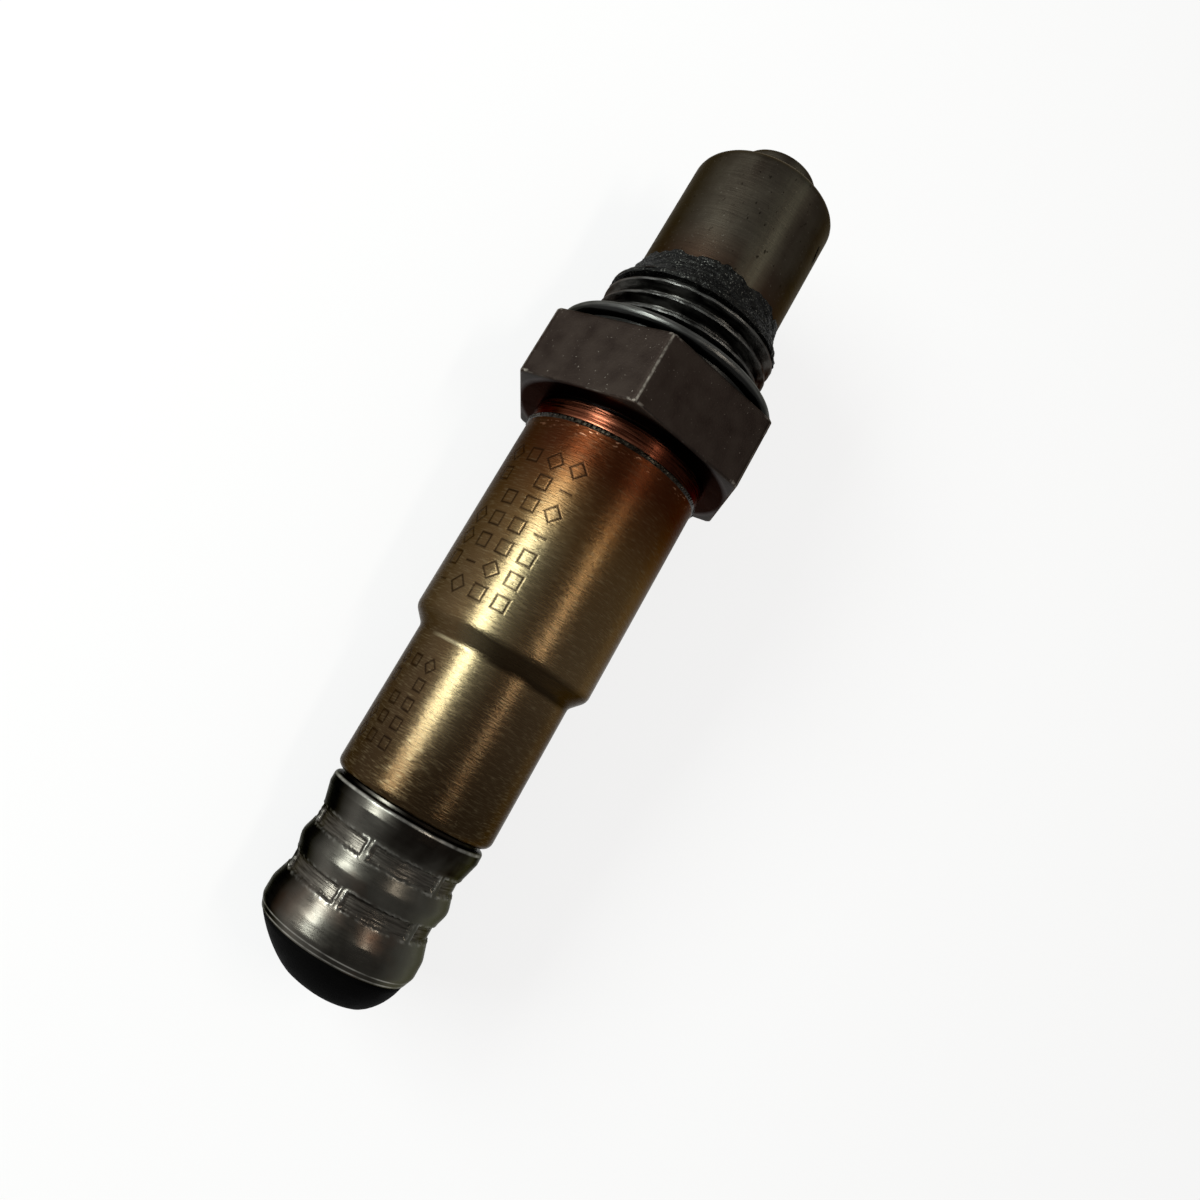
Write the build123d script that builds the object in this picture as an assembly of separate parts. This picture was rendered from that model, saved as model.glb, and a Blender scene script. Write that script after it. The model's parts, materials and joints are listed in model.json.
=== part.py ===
from build123d import *

import math
import os

# Heated planar oxygen sensor for an exhaust, without its lead, lying as it comes to rest.
# Every piece is drawn on the sensor's own axis, Z, in millimetres. Z is 0 at the face of the
# hexagon that the gasket sits on, and the gas end points towards +Z. The last section lays
# the finished sensor on a flat of its hexagon and on the barrel of its crimp sleeve.

# Thread, seat and hexagon
thread_diameter = 17.9
thread_length = 8.6
thread_lead = 1.2
thread_depth = 0.9
relief_spare = 0.5
relief_slope = 0.6
hex_across_flats = 22.0
hex_height = 7.2
hex_edge_break = 0.25
collar_length = 2.0

# Bore of the housing and the stack that it holds
bore_diameter = 12.6
nose_bore_diameter = 8.0
nose_wall_length = 3.6
nose_spigot_length = 3.0
front_ceramic_length = 4.0
packing_length = 4.0
rear_flange_length = 5.5
rear_stem_step = 1.4
rear_stem_length = 8.0
press_ring_thickness = 1.5
lip_thickness = 1.2
lip_clearance = 0.3

# Crush gasket, folded from one strip of sheet
gasket_clearance = 0.35
gasket_width = 2.95
gasket_foot_width = 2.2
gasket_top_width = 2.15
gasket_height = 1.7
gasket_sheet = 0.4

# Double protection tube
tube_setback = 1.45
tube_wall = 0.5
tube_length = 15.0
tube_corner = 1.2
inner_tube_step = 1.1
inner_tube_wall = 0.4
inner_tube_corner = 0.5
nub_diameter = 8.4
nub_height = 3.1
nub_corner = 0.7
gas_gap = 0.3
gas_outlet_diameter = 2.4
gas_inlet_diameter = 1.4
gas_inlet_count = 8
gas_inlet_height = 2.5

# Sensor element and its contacts
element_width = 4.0
element_thickness = 1.25
element_tip_gap = 1.2
contact_overlap = 12.0
slot_fit = 0.08
contact_sheet = 0.25
contact_width = 1.2
contact_pitch = 2.2
contact_front_gap = 1.5
contact_rear_gap = 0.6
barrel_diameter = 2.0
barrel_bore = 1.3
barrel_length = 4.0
lead_circle = 5.2

# Contact holder, its spring and the lead spacer
holder_length = 17.0
holder_split = 0.1
holder_recess_depth = 2.0
holder_recess_diameter = 8.0
channel_fit = 0.1
spring_sheet = 0.5
spring_length = 4.0
spring_setback = 5.0
spring_slit = 3.0
spacer_passage_diameter = 2.4

# Protective sleeve and its weld
small_sleeve_room = 0.85
sleeve_wall = 0.5
shoulder_step = 1.2
large_sleeve_length = 20.0
shoulder_length = 1.3
shoulder_radius = 1.2
small_sleeve_length = 14.1
roll_flat = 0.05
weld_width = 0.3
weld_lap = 0.25
weld_bead = 0.1

# Crimp sleeve, with a band of jaw marks in each of its two waists
crimp_wall = 0.5
neck_setback = 0.45
neck_length = 3.9
rim_gap = 0.25
rim_step = 0.67
rim_length = 1.1
rim_radius = 0.4
taper_length = 1.8
band_step = 0.15
band_length = 1.6
bulge_step = 0.4
bulge_length = 2.5
bulge_radius = 1.4
flare_length = 1.5
barrel_step = 0.5
barrel_sleeve_length = 1.4
rolled_end_length = 0.9
rolled_end_step = 0.4
waist_radius = 0.7
jaw_count = 6
jaw_depth = 0.2
jaw_length = 1.4
jaw_ridge_angle = 6.0
first_ridge_angle = 22.5

# Grommet
head_setback = 0.05
dome_height = 4.2
lead_passage_diameter = 1.9

# Radial clearance of pieces that slide together
slip = 0.03

# Radii that follow from the sizes above
thread_radius = thread_diameter / 2
bore_radius = bore_diameter / 2
tube_radius = thread_radius - tube_setback
tube_bore_radius = tube_radius - tube_wall
nose_spigot_radius = tube_bore_radius - slip
nub_radius = nub_diameter / 2
inner_tube_radius = nub_radius + inner_tube_step
ceramic_radius = bore_radius - slip
stem_radius = bore_radius - rear_stem_step
relief_radius = thread_radius - thread_depth
gasket_hole_radius = relief_radius + gasket_clearance
gasket_radius = gasket_hole_radius + gasket_width
small_bore_radius = bore_radius + small_sleeve_room
small_radius = small_bore_radius + sleeve_wall
sleeve_radius = small_radius + shoulder_step
sleeve_bore_radius = sleeve_radius - sleeve_wall
rear_spigot_radius = sleeve_bore_radius - slip
neck_radius = small_bore_radius - neck_setback
rim_outer_radius = neck_radius + rim_step
band_radius = neck_radius + band_step
jaw_radius = band_radius - jaw_depth
bulge_outer_radius = band_radius + bulge_step
barrel_radius = band_radius + barrel_step
rolled_radius = barrel_radius - rolled_end_step
head_radius = rolled_radius - head_setback

# Stations along the axis towards the gas end
relief_front = gasket_height + relief_spare
thread_front = thread_length
nose_front = thread_front + nose_spigot_length
tube_front = thread_front + tube_length
inner_shoulder = tube_front - tube_wall - gas_gap
nub_front = tube_front + nub_height
element_front = inner_shoulder - inner_tube_wall - element_tip_gap
ceramic_seat = thread_front - nose_wall_length

# Stations along the axis towards the cable end, inside the housing
front_ceramic_rear = ceramic_seat - front_ceramic_length
packing_rear = front_ceramic_rear - packing_length
flange_rear = packing_rear - rear_flange_length
press_ring_rear = flange_rear - press_ring_thickness
housing_rear = press_ring_rear - lip_thickness
stem_rear = flange_rear - rear_stem_length
holder_rear = stem_rear - holder_length
element_rear = stem_rear - contact_overlap

# Stations along the axis towards the cable end, outside the housing
hex_rear = -hex_height
collar_rear = hex_rear - collar_length
sleeve_front = collar_rear - weld_width
shoulder_front = sleeve_front - large_sleeve_length
shoulder_rear = shoulder_front - shoulder_length
sleeve_rear = shoulder_rear - small_sleeve_length
neck_front = sleeve_rear + neck_length
rim_front = sleeve_rear - rim_gap
rim_rear = rim_front - rim_length
band_1_front = rim_rear - taper_length
band_1_rear = band_1_front - band_length
bulge_middle = band_1_rear - bulge_length / 2
band_2_front = band_1_rear - bulge_length
band_2_rear = band_2_front - band_length
barrel_front = band_2_rear - flare_length
barrel_rear = barrel_front - barrel_sleeve_length
crimp_rear = barrel_rear - rolled_end_length
dome_rear = crimp_rear - dome_height


def section(points, rounds=()):
    """Closed outline of (radius, height) points, with a radius at each named corner."""
    face = make_face(Polyline(*points, close=True)).face()
    for corner, radius in rounds:
        nearest = min(face.vertices(), key=lambda v: math.dist((v.X, v.Y), corner))
        face = face.fillet_2d(radius, [nearest])
    return face


def revolved(face, angle=360.0):
    """Solid made by turning a section about the sensor's axis."""
    return revolve(Plane.XZ * face, Axis.Z, revolution_arc=angle)


def turned(points, rounds=()):
    """Turned or drawn piece with the given section."""
    return revolved(section(points, rounds))


def between(shape_at_origin, low, high):
    """Solid of a flat outline, from one height to another."""
    return extrude(Pos(0, 0, low) * shape_at_origin, amount=high - low)


def element_slot(low, high, fit):
    """Room for the flat element, between two heights, with a fit on every side."""
    outline = Rectangle(element_thickness + 2 * fit, element_width + 2 * fit)
    return between(outline, low, high)


def lead_axes():
    """The four places round the axis that a lead wire takes."""
    return [Rot(0, 0, 45 + 90 * turn) * Pos(lead_circle / 2, 0, 0) for turn in range(4)]


def lead_passages(diameter, low, high):
    """Four round passages along the axis."""
    return [between(place * Circle(diameter / 2), low, high) for place in lead_axes()]


def housing():
    """Turned steel body: thread, relief groove, hexagon, collar and the two spigots."""
    lip_radius = stem_radius + lip_clearance
    nose_bore_radius = nose_bore_diameter / 2
    shaft = turned([
        (nose_bore_radius, nose_front), (nose_spigot_radius, nose_front),
        (nose_spigot_radius, thread_front), (thread_radius - thread_lead, thread_front),
        (thread_radius, thread_front - thread_lead), (thread_radius, relief_front + relief_slope),
        (relief_radius, relief_front), (relief_radius, 0.0),
        (relief_radius, hex_rear), (sleeve_radius, hex_rear),
        (sleeve_radius, collar_rear), (rear_spigot_radius, collar_rear),
        (rear_spigot_radius, housing_rear), (lip_radius, housing_rear),
        (lip_radius, press_ring_rear), (bore_radius, press_ring_rear),
        (bore_radius, ceramic_seat), (nose_bore_radius, ceramic_seat),
    ])
    hexagon = RegularPolygon(hex_across_flats / 2, 6, major_radius=False, rotation=30)
    nut = chamfer(between(hexagon, hex_rear, 0.0).edges(), hex_edge_break)
    nut -= between(Circle(relief_radius), hex_rear, 0.0)
    return shaft + nut


def sealing_ring():
    """Crush gasket: one strip of sheet folded into three layers, with a bend between each two."""
    layer_pitch = (gasket_height - gasket_sheet) / 2
    bend = layer_pitch / 2
    inner_bend = gasket_hole_radius + gasket_sheet / 2 + bend
    outer_bend = gasket_radius - gasket_sheet / 2 - bend
    low = gasket_sheet / 2
    middle = low + layer_pitch
    top = middle + layer_pitch
    strip = Curve() + [
        Line((gasket_hole_radius + gasket_foot_width, low), (inner_bend, low)),
        ThreePointArc((inner_bend, low), (inner_bend - bend, low + bend), (inner_bend, middle)),
        Line((inner_bend, middle), (outer_bend, middle)),
        ThreePointArc((outer_bend, middle), (outer_bend + bend, middle + bend), (outer_bend, top)),
        Line((outer_bend, top), (gasket_radius - gasket_top_width, top)),
    ]
    return revolved(trace(strip, gasket_sheet).face())


def outer_protection_tube():
    """Drawn tube over the nose spigot, with an opening in its closed end."""
    opening_radius = nub_radius + gas_gap
    return turned([
        (tube_radius, thread_front), (tube_radius, tube_front), (opening_radius, tube_front),
        (opening_radius, tube_front - tube_wall), (tube_bore_radius, tube_front - tube_wall),
        (tube_bore_radius, thread_front),
    ], [
        ((tube_radius, tube_front), tube_corner),
        ((tube_bore_radius, tube_front - tube_wall), tube_corner - tube_wall),
    ])


def inner_protection_tube():
    """Drawn tube on a flange, necked down to the nub that stands out of the outer tube."""
    wall = inner_tube_wall
    radius = inner_tube_radius
    outlet_radius = gas_outlet_diameter / 2
    tube = turned([
        (nose_spigot_radius, nose_front), (nose_spigot_radius, nose_front + wall),
        (radius, nose_front + wall), (radius, inner_shoulder),
        (nub_radius, inner_shoulder), (nub_radius, nub_front),
        (outlet_radius, nub_front), (outlet_radius, nub_front - wall),
        (nub_radius - wall, nub_front - wall), (nub_radius - wall, inner_shoulder - wall),
        (radius - wall, inner_shoulder - wall), (radius - wall, nose_front),
    ], [
        ((radius, inner_shoulder), inner_tube_corner),
        ((nub_radius, nub_front), nub_corner),
        ((nub_radius - wall, nub_front - wall), nub_corner - wall),
    ])
    for turn in range(gas_inlet_count):
        hole = Plane.YZ * Circle(gas_inlet_diameter / 2)
        drill = extrude(hole, amount=tube_radius)
        tube -= Rot(0, 0, turn * 360 / gas_inlet_count) * Pos(0, 0, nose_front + gas_inlet_height) * drill
    return tube


def sensor_element():
    """Flat ceramic strip, from behind the gas outlet to the contacts."""
    return element_slot(element_rear, element_front, 0.0)


def front_ceramic():
    """Bush on the shoulder inside the housing."""
    bush = between(Circle(ceramic_radius), front_ceramic_rear, ceramic_seat)
    return bush - element_slot(front_ceramic_rear, ceramic_seat, slot_fit)


def seal_packing():
    """Pressed powder, close round the element."""
    ring = between(Circle(ceramic_radius), packing_rear, front_ceramic_rear)
    return ring - element_slot(packing_rear, front_ceramic_rear, slip)


def rear_ceramic():
    """Bush that presses on the powder, with the stem that carries the contact holder."""
    flange = between(Circle(ceramic_radius), flange_rear, packing_rear)
    stem = between(Circle(stem_radius), stem_rear, flange_rear)
    return flange + stem - element_slot(stem_rear, packing_rear, slot_fit)


def press_ring():
    """Ring between the rear ceramic's flange and the housing's rolled lip."""
    outline = Circle(ceramic_radius) - Circle(stem_radius + slip)
    return between(outline, press_ring_rear, flange_rear)


def contact_place(side, row):
    """Middle of a contact strip's section. side is above or below the element, row is across it."""
    offset = element_thickness / 2 + slip + contact_sheet / 2
    return side * offset, row * contact_pitch / 2


def holder_half(side):
    """Half of the contact holder, with its share of the element's slot and two channels."""
    body = between(Circle(ceramic_radius), holder_rear, stem_rear)
    body -= element_slot(holder_rear, stem_rear, slot_fit)
    recess_front = holder_rear + holder_recess_depth
    body -= between(Circle(holder_recess_diameter / 2), holder_rear, recess_front)
    channel = Rectangle(contact_sheet + 2 * channel_fit, contact_width + 2 * channel_fit)
    for row in (-1, 1):
        x, y = contact_place(side, row)
        body -= between(Pos(x, y) * channel, holder_rear, stem_rear - contact_front_gap + channel_fit)
    keep = Pos(side * (bore_radius + holder_split / 2), 0) * Rectangle(bore_diameter, bore_diameter)
    return body & between(keep, holder_rear, stem_rear)


def contact(side, row):
    """Contact strip on one face of the element, joggled out to the barrel that grips its wire."""
    x, y = contact_place(side, row)
    barrel_x = side * lead_circle / 2 * math.cos(math.radians(45))
    barrel_y = row * lead_circle / 2 * math.sin(math.radians(45))
    recess_front = holder_rear + holder_recess_depth
    strip_section = Rectangle(contact_sheet, contact_width)
    strip = between(Pos(x, y) * strip_section, recess_front, stem_rear - contact_front_gap)
    wall = (barrel_diameter - barrel_bore) / 4
    link_end = holder_rear + contact_rear_gap
    link_x = barrel_x - side * (barrel_diameter / 2 - wall)
    link = loft([Pos(x, y, recess_front) * strip_section, Pos(link_x, barrel_y, link_end) * strip_section])
    ring = Circle(barrel_diameter / 2) - Circle(barrel_bore / 2)
    barrel = between(Pos(barrel_x, barrel_y) * ring, holder_rear - barrel_length, link_end)
    return strip + link + barrel


def holder_spring():
    """Split ring of spring sheet that holds the two halves together."""
    front = stem_rear - spring_setback
    ring = Circle(bore_radius + spring_sheet) - Circle(bore_radius)
    slit = Pos(0, bore_radius) * Rectangle(spring_slit, bore_radius)
    return between(ring - slit, front - spring_length, front)


def lead_spacer():
    """Insulating bush in the small part of the sleeve, round the four wire barrels."""
    bush = between(Circle(small_bore_radius - slip), neck_front, holder_rear)
    return bush - lead_passages(spacer_passage_diameter, neck_front, holder_rear)


def sleeve_weld():
    """Bead that fills the joint between the housing's collar and the sleeve."""
    middle = (collar_rear + sleeve_front) / 2
    outline = Curve() + [
        Polyline(
            (sleeve_radius, sleeve_front - weld_lap), (sleeve_radius, sleeve_front),
            (rear_spigot_radius, sleeve_front), (rear_spigot_radius, collar_rear),
            (sleeve_radius, collar_rear), (sleeve_radius, collar_rear + weld_lap)),
        ThreePointArc(
            (sleeve_radius, collar_rear + weld_lap), (sleeve_radius + weld_bead, middle),
            (sleeve_radius, sleeve_front - weld_lap)),
    ]
    return revolved(make_face(outline).face())


def protective_sleeve():
    """Drawn sleeve with a shoulder, its end turned in round the crimp sleeve's neck."""
    lip_radius = neck_radius + slip
    shoulder_angle = math.atan2(sleeve_radius - small_radius, shoulder_length)
    inner_shift = sleeve_wall * math.tan(shoulder_angle / 2)
    large_corner = (sleeve_radius, shoulder_front)
    small_corner = (small_radius, shoulder_rear)
    large_inner = (sleeve_bore_radius, shoulder_front + inner_shift)
    small_inner = (small_bore_radius, shoulder_rear + inner_shift)
    rear_corner = (small_radius, sleeve_rear)
    rear_inner = (small_bore_radius, sleeve_rear + sleeve_wall)
    return turned([
        (sleeve_radius, sleeve_front), large_corner, small_corner, rear_corner,
        (lip_radius, sleeve_rear), (lip_radius, sleeve_rear + sleeve_wall),
        rear_inner, small_inner, large_inner, (sleeve_bore_radius, sleeve_front),
    ], [
        (large_corner, shoulder_radius),
        (small_corner, shoulder_radius - sleeve_wall),
        (large_inner, shoulder_radius - sleeve_wall),
        (small_inner, shoulder_radius),
        (rear_corner, small_radius - lip_radius - roll_flat),
    ])


def crimp_profile(depth):
    """Corners of the crimp sleeve's wall at a depth below its outside, from neck to rear end."""
    waist = band_radius if depth == 0 else jaw_radius
    return [
        (neck_radius - depth, neck_front), (neck_radius - depth, rim_front - depth),
        (rim_outer_radius - depth, rim_front - depth), (rim_outer_radius - depth, rim_rear),
        (waist - depth, band_1_front), (waist - depth, band_1_rear),
        (bulge_outer_radius - depth, bulge_middle),
        (waist - depth, band_2_front), (waist - depth, band_2_rear),
        (barrel_radius - depth, barrel_front), (barrel_radius - depth, barrel_rear),
        (rolled_radius - depth, crimp_rear),
    ]


def waist_rounds(profile):
    """Radii of the bulge and of the corners that the crimping leaves soft."""
    return [
        (profile[4], waist_radius), (profile[5], waist_radius), (profile[6], bulge_radius),
        (profile[7], waist_radius), (profile[8], waist_radius), (profile[9], bulge_radius),
    ]


def crimp_sleeve():
    """Sleeve pressed onto the grommet in two bands, by six jaws at a time."""
    outside = crimp_profile(0)
    inside = crimp_profile(crimp_wall)
    rounds = waist_rounds(outside) + [(outside[2], rim_radius), (outside[10], waist_radius)]
    sleeve = turned(outside + inside[::-1], rounds + waist_rounds(inside))
    pitch = 360 / jaw_count
    start_angle = first_ridge_angle + jaw_ridge_angle / 2
    clear_radius = bulge_outer_radius + jaw_depth
    for front, rear in ((band_1_front, band_1_rear), (band_2_front, band_2_rear)):
        low = (front + rear - jaw_length) / 2
        mark = revolved(section([
            (jaw_radius, low), (clear_radius, low),
            (clear_radius, low + jaw_length), (jaw_radius, low + jaw_length),
        ]), pitch - jaw_ridge_angle)
        for jaw in range(jaw_count):
            sleeve -= Rot(0, 0, start_angle + jaw * pitch) * mark
    return sleeve


def grommet():
    """Rubber plug that fills the crimp sleeve, with a domed head and four open lead passages."""
    inside = crimp_profile(crimp_wall + slip)
    head_centre = (head_radius ** 2 - dome_height ** 2) / (2 * dome_height)
    dome_radius = head_centre + dome_height
    half_angle = math.atan2(head_radius, head_centre) / 2
    centre = crimp_rear + head_centre
    dome_middle = (dome_radius * math.sin(half_angle), centre - dome_radius * math.cos(half_angle))
    sides = Polyline((0, dome_rear), (0, neck_front), *inside, (head_radius, crimp_rear))
    dome = ThreePointArc((head_radius, crimp_rear), dome_middle, (0, dome_rear))
    face = make_face(Curve() + [sides, dome]).face()
    for corner, radius in waist_rounds(inside):
        nearest = min(face.vertices(), key=lambda v: math.dist((v.X, v.Y), corner))
        face = face.fillet_2d(radius, [nearest])
    plug = revolved(face)
    return plug - lead_passages(lead_passage_diameter, dome_rear, neck_front)


def pieces():
    """Every piece of the sensor on its own axis, by name."""
    made = {
        "housing": housing(),
        "sealing_ring": sealing_ring(),
        "outer_protection_tube": outer_protection_tube(),
        "inner_protection_tube": inner_protection_tube(),
        "sensor_element": sensor_element(),
        "front_ceramic": front_ceramic(),
        "seal_packing": seal_packing(),
        "rear_ceramic": rear_ceramic(),
        "press_ring": press_ring(),
        "contact_holder_upper": holder_half(-1),
        "contact_holder_lower": holder_half(1),
        "holder_spring": holder_spring(),
        "lead_spacer": lead_spacer(),
        "sleeve_weld": sleeve_weld(),
        "protective_sleeve": protective_sleeve(),
        "crimp_sleeve": crimp_sleeve(),
        "grommet": grommet(),
    }
    corners = [(-1, -1), (-1, 1), (1, -1), (1, 1)]
    for number, (side, row) in enumerate(corners, start=1):
        made[f"contact_{number}"] = contact(side, row)
    return made


def resting_turn():
    """Turn that lays the sensor on a flat's rear edge and on the crimp sleeve's barrel."""
    drop = hex_across_flats / 2 - barrel_radius
    reach = (hex_rear + hex_edge_break) - barrel_rear
    return Rot(0, 90 - math.degrees(math.atan2(drop, reach)), 0)


def resting_place(made):
    """The turn, then the shift that puts the origin under the middle of the whole sensor."""
    turn = resting_turn()
    boxes = [(turn * piece).bounding_box() for piece in made.values()]
    low = [min(getattr(box.min, axis) for box in boxes) for axis in "XYZ"]
    high = [max(getattr(box.max, axis) for box in boxes) for axis in "XYZ"]
    return Pos(-(low[0] + high[0]) / 2, -(low[1] + high[1]) / 2, -low[2]) * turn


def interface_points():
    """Points on the axis or on a face where something else meets the sensor."""
    points = {
        "thread": (0, 0, (relief_front + relief_slope + thread_front - thread_lead) / 2),
        "gasket_face": (gasket_radius - gasket_top_width / 2, 0, gasket_height),
        "wrench_flat": (-hex_across_flats / 2, 0, hex_rear / 2),
    }
    for number, place in enumerate(lead_axes(), start=1):
        x, y, _ = place.position
        points[f"lead_passage_{number}"] = (x, y, (neck_front + crimp_rear) / 2)
    return points


os.makedirs("parts", exist_ok=True)
model = pieces()
rest = resting_place(model)
for name, piece in model.items():
    export_step(rest * piece, f"parts/{name}.step")

for name, point in interface_points().items():
    place = (rest * Pos(*point)).position
    print(f"{name}: {place.X:.4f} {place.Y:.4f} {place.Z:.4f}")
nose = (rest * Pos(0, 0, 1)).position - rest.position
print(f"direction of the gas end: {nose.X:.6f} {nose.Y:.6f} {nose.Z:.6f}")
print(f"thread wall: {thread_front - thread_lead - relief_front - relief_slope:.2f} long")
print(f"lead passage wall: {neck_front - dome_rear:.2f} long at most")
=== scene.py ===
import json
import math

import bmesh
import bpy
from mathutils import Matrix, Vector


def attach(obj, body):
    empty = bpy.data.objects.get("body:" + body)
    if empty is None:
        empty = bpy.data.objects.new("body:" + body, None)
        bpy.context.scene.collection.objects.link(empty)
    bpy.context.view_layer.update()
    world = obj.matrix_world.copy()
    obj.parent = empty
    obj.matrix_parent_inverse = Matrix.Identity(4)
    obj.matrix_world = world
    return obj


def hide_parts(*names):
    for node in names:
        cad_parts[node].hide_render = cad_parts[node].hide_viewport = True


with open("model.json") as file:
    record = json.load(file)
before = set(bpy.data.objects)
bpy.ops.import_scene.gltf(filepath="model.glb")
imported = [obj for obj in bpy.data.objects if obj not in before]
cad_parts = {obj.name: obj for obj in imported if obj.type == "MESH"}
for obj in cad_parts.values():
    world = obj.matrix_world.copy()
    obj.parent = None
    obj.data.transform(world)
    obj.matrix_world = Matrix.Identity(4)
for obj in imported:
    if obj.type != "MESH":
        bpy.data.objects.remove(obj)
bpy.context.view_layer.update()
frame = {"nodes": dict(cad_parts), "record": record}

# Sensor axes: X towards the flat that the sensor lies on, Z towards its gas end, in millimetres.
# Z is 0 at the hexagon's face under the gasket. The thread's mount says where the axes lie.
thread_middle = 5.1
thread_mount = next(m for m in frame["record"]["mounts"] if m["name"] == "thread")
gas_way = Vector(thread_mount["axis"]).normalized()
side_way = Vector((0, 1, 0))
floor_way = side_way.cross(gas_way)
seat_point = Vector(thread_mount["pos_m"]) - gas_way * thread_middle / 1000
sensor_turn = Matrix((floor_way, side_way, gas_way)).transposed()
sensor_place = Matrix.Translation(seat_point) @ sensor_turn.to_4x4() @ Matrix.Scale(0.001, 4)


# Housing: one turned steel body with a hexagon, an M18 x 1.5 thread cut on its front end, and a
# collar behind. Exhaust heat has turned it a matt chocolate brown. Its rear face is painted black as shade.
tree = None


def add(kind, inputs=(), **settings):
    """A node in the tree that was started last, with its inputs set or linked. Gives its first output."""
    made = tree.nodes.new(kind)
    for name, value in settings.items():
        setattr(made, name, value)
    for key, value in inputs.items() if isinstance(inputs, dict) else enumerate(inputs):
        if isinstance(value, bpy.types.NodeSocket):
            tree.links.new(value, made.inputs[key])
        elif value is not None:
            made.inputs[key].default_value = value
    return made.outputs[0] if len(made.outputs) else None


def maths(operation, *values):
    """A Math node on up to three values."""
    return add("ShaderNodeMath", values, operation=operation)


def times(first, second):
    """The product of two values."""
    return maths("MULTIPLY", first, second)


def rounded(corners):
    """Closed outline through corners of (radius, height, rounding), with each rounding as an arc."""
    arc_step = math.radians(12)
    outline = []
    for index, (radius, height, rounding) in enumerate(corners):
        corner = Vector((radius, height))
        if rounding == 0:
            outline.append(corner)
            continue
        back = (Vector(corners[index - 1][:2]) - corner).normalized()
        on = (Vector(corners[(index + 1) % len(corners)][:2]) - corner).normalized()
        half = back.angle(on) / 2
        centre = corner + (back + on).normalized() * rounding / math.sin(half)
        start = corner + back * rounding / math.tan(half) - centre
        sweep = start.angle_signed(corner + on * rounding / math.tan(half) - centre)
        steps = max(2, math.ceil(abs(sweep) / arc_step))
        for step in range(steps + 1):
            outline.append(centre + Matrix.Rotation(-sweep * step / steps, 2) @ start)
    return outline


def evened(outline, spacing, closed=True):
    """The outline with points added at up to the spacing. An open one leaves its last point out."""
    points = []
    for index, point in enumerate(outline if closed else outline[:-1]):
        after = outline[(index + 1) % len(outline)]
        steps = max(1, math.ceil((after - point).length / spacing))
        points += [point.lerp(after, step / steps) for step in range(steps)]
    return points


def ringed(name, rings):
    """Closed mesh of rings round the axis, each joined to the next and the last to the first."""
    count = len(rings[0])
    mesh = bpy.data.meshes.new(name)
    faces = []
    for row in range(len(rings)):
        low, high = row * count, (row + 1) % len(rings) * count
        for turn in range(count):
            other = (turn + 1) % count
            faces.append((low + turn, low + other, high + other, high + turn))
    mesh.from_pydata([point for ring in rings for point in ring], [], faces)
    return mesh


def lathed(name, outline, segments):
    """Closed mesh of an outline of (radius, height) points turned about the axis."""
    turns = [math.tau * turn / segments for turn in range(segments)]
    return ringed(name, [[(p.x * math.cos(t), p.x * math.sin(t), p.y) for t in turns] for p in outline])


def joined(name, *meshes):
    """One mesh of several, each a closed shell that keeps its shape."""
    shape = bmesh.new()
    for mesh in meshes:
        shape.from_mesh(mesh)
    whole = bpy.data.meshes.new(name)
    shape.to_mesh(whole)
    shape.free()
    return whole


def made_piece(name, mesh, material, sharp_degrees=32):
    """The piece's object, merged, facing outwards, laid in its place and shaded smooth to its edges."""
    shape = bmesh.new()
    shape.from_mesh(mesh)
    bmesh.ops.remove_doubles(shape, verts=shape.verts, dist=0.0005)
    bmesh.ops.recalc_face_normals(shape, faces=shape.faces)
    shape.to_mesh(mesh)
    shape.free()
    mesh.transform(sensor_place)
    mesh.polygons.foreach_set("use_smooth", [True] * len(mesh.polygons))
    mesh.set_sharp_from_angle(angle=math.radians(sharp_degrees))
    mesh.materials.clear()
    mesh.materials.append(material)
    piece = bpy.data.objects.new(name, mesh)
    bpy.context.scene.collection.objects.link(piece)
    return piece


def geometry_tree(name, sizes):
    """Starts a Geometry Nodes tree with a mesh, a number for each size and a material as its inputs."""
    global tree
    tree = bpy.data.node_groups.new(name, "GeometryNodeTree")
    tree.interface.new_socket("Mesh", in_out="INPUT", socket_type="NodeSocketGeometry")
    for size in sizes:
        tree.interface.new_socket(size, in_out="INPUT", socket_type="NodeSocketFloat")
    tree.interface.new_socket("Material", in_out="INPUT", socket_type="NodeSocketMaterial")
    tree.interface.new_socket("Mesh", in_out="OUTPUT", socket_type="NodeSocketGeometry")
    return tree, tree.nodes.new("NodeGroupInput").outputs


def end_tree(mesh, material):
    """Ends the tree in real meshes with their material."""
    real = add("GeometryNodeRealizeInstances", [mesh])
    add("NodeGroupOutput", [add("GeometryNodeSetMaterial", {0: real, "Material": material})])


def grown(mesh, maker, values):
    """The plain mesh that a Geometry Nodes tree makes of a mesh, with its named inputs set."""
    carrier = bpy.data.objects.new(maker.name, mesh)
    bpy.context.scene.collection.objects.link(carrier)
    modifier = carrier.modifiers.new(maker.name, "NODES")
    modifier.node_group = maker
    for item in maker.interface.items_tree:
        if item.item_type == "SOCKET" and item.in_out == "INPUT" and item.name in values:
            modifier[item.identifier] = values[item.name]
    depsgraph = bpy.context.evaluated_depsgraph_get()
    result = bpy.data.meshes.new_from_object(carrier.evaluated_get(depsgraph))
    carrier.modifiers.remove(modifier)
    bpy.data.objects.remove(carrier)
    return result


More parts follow.
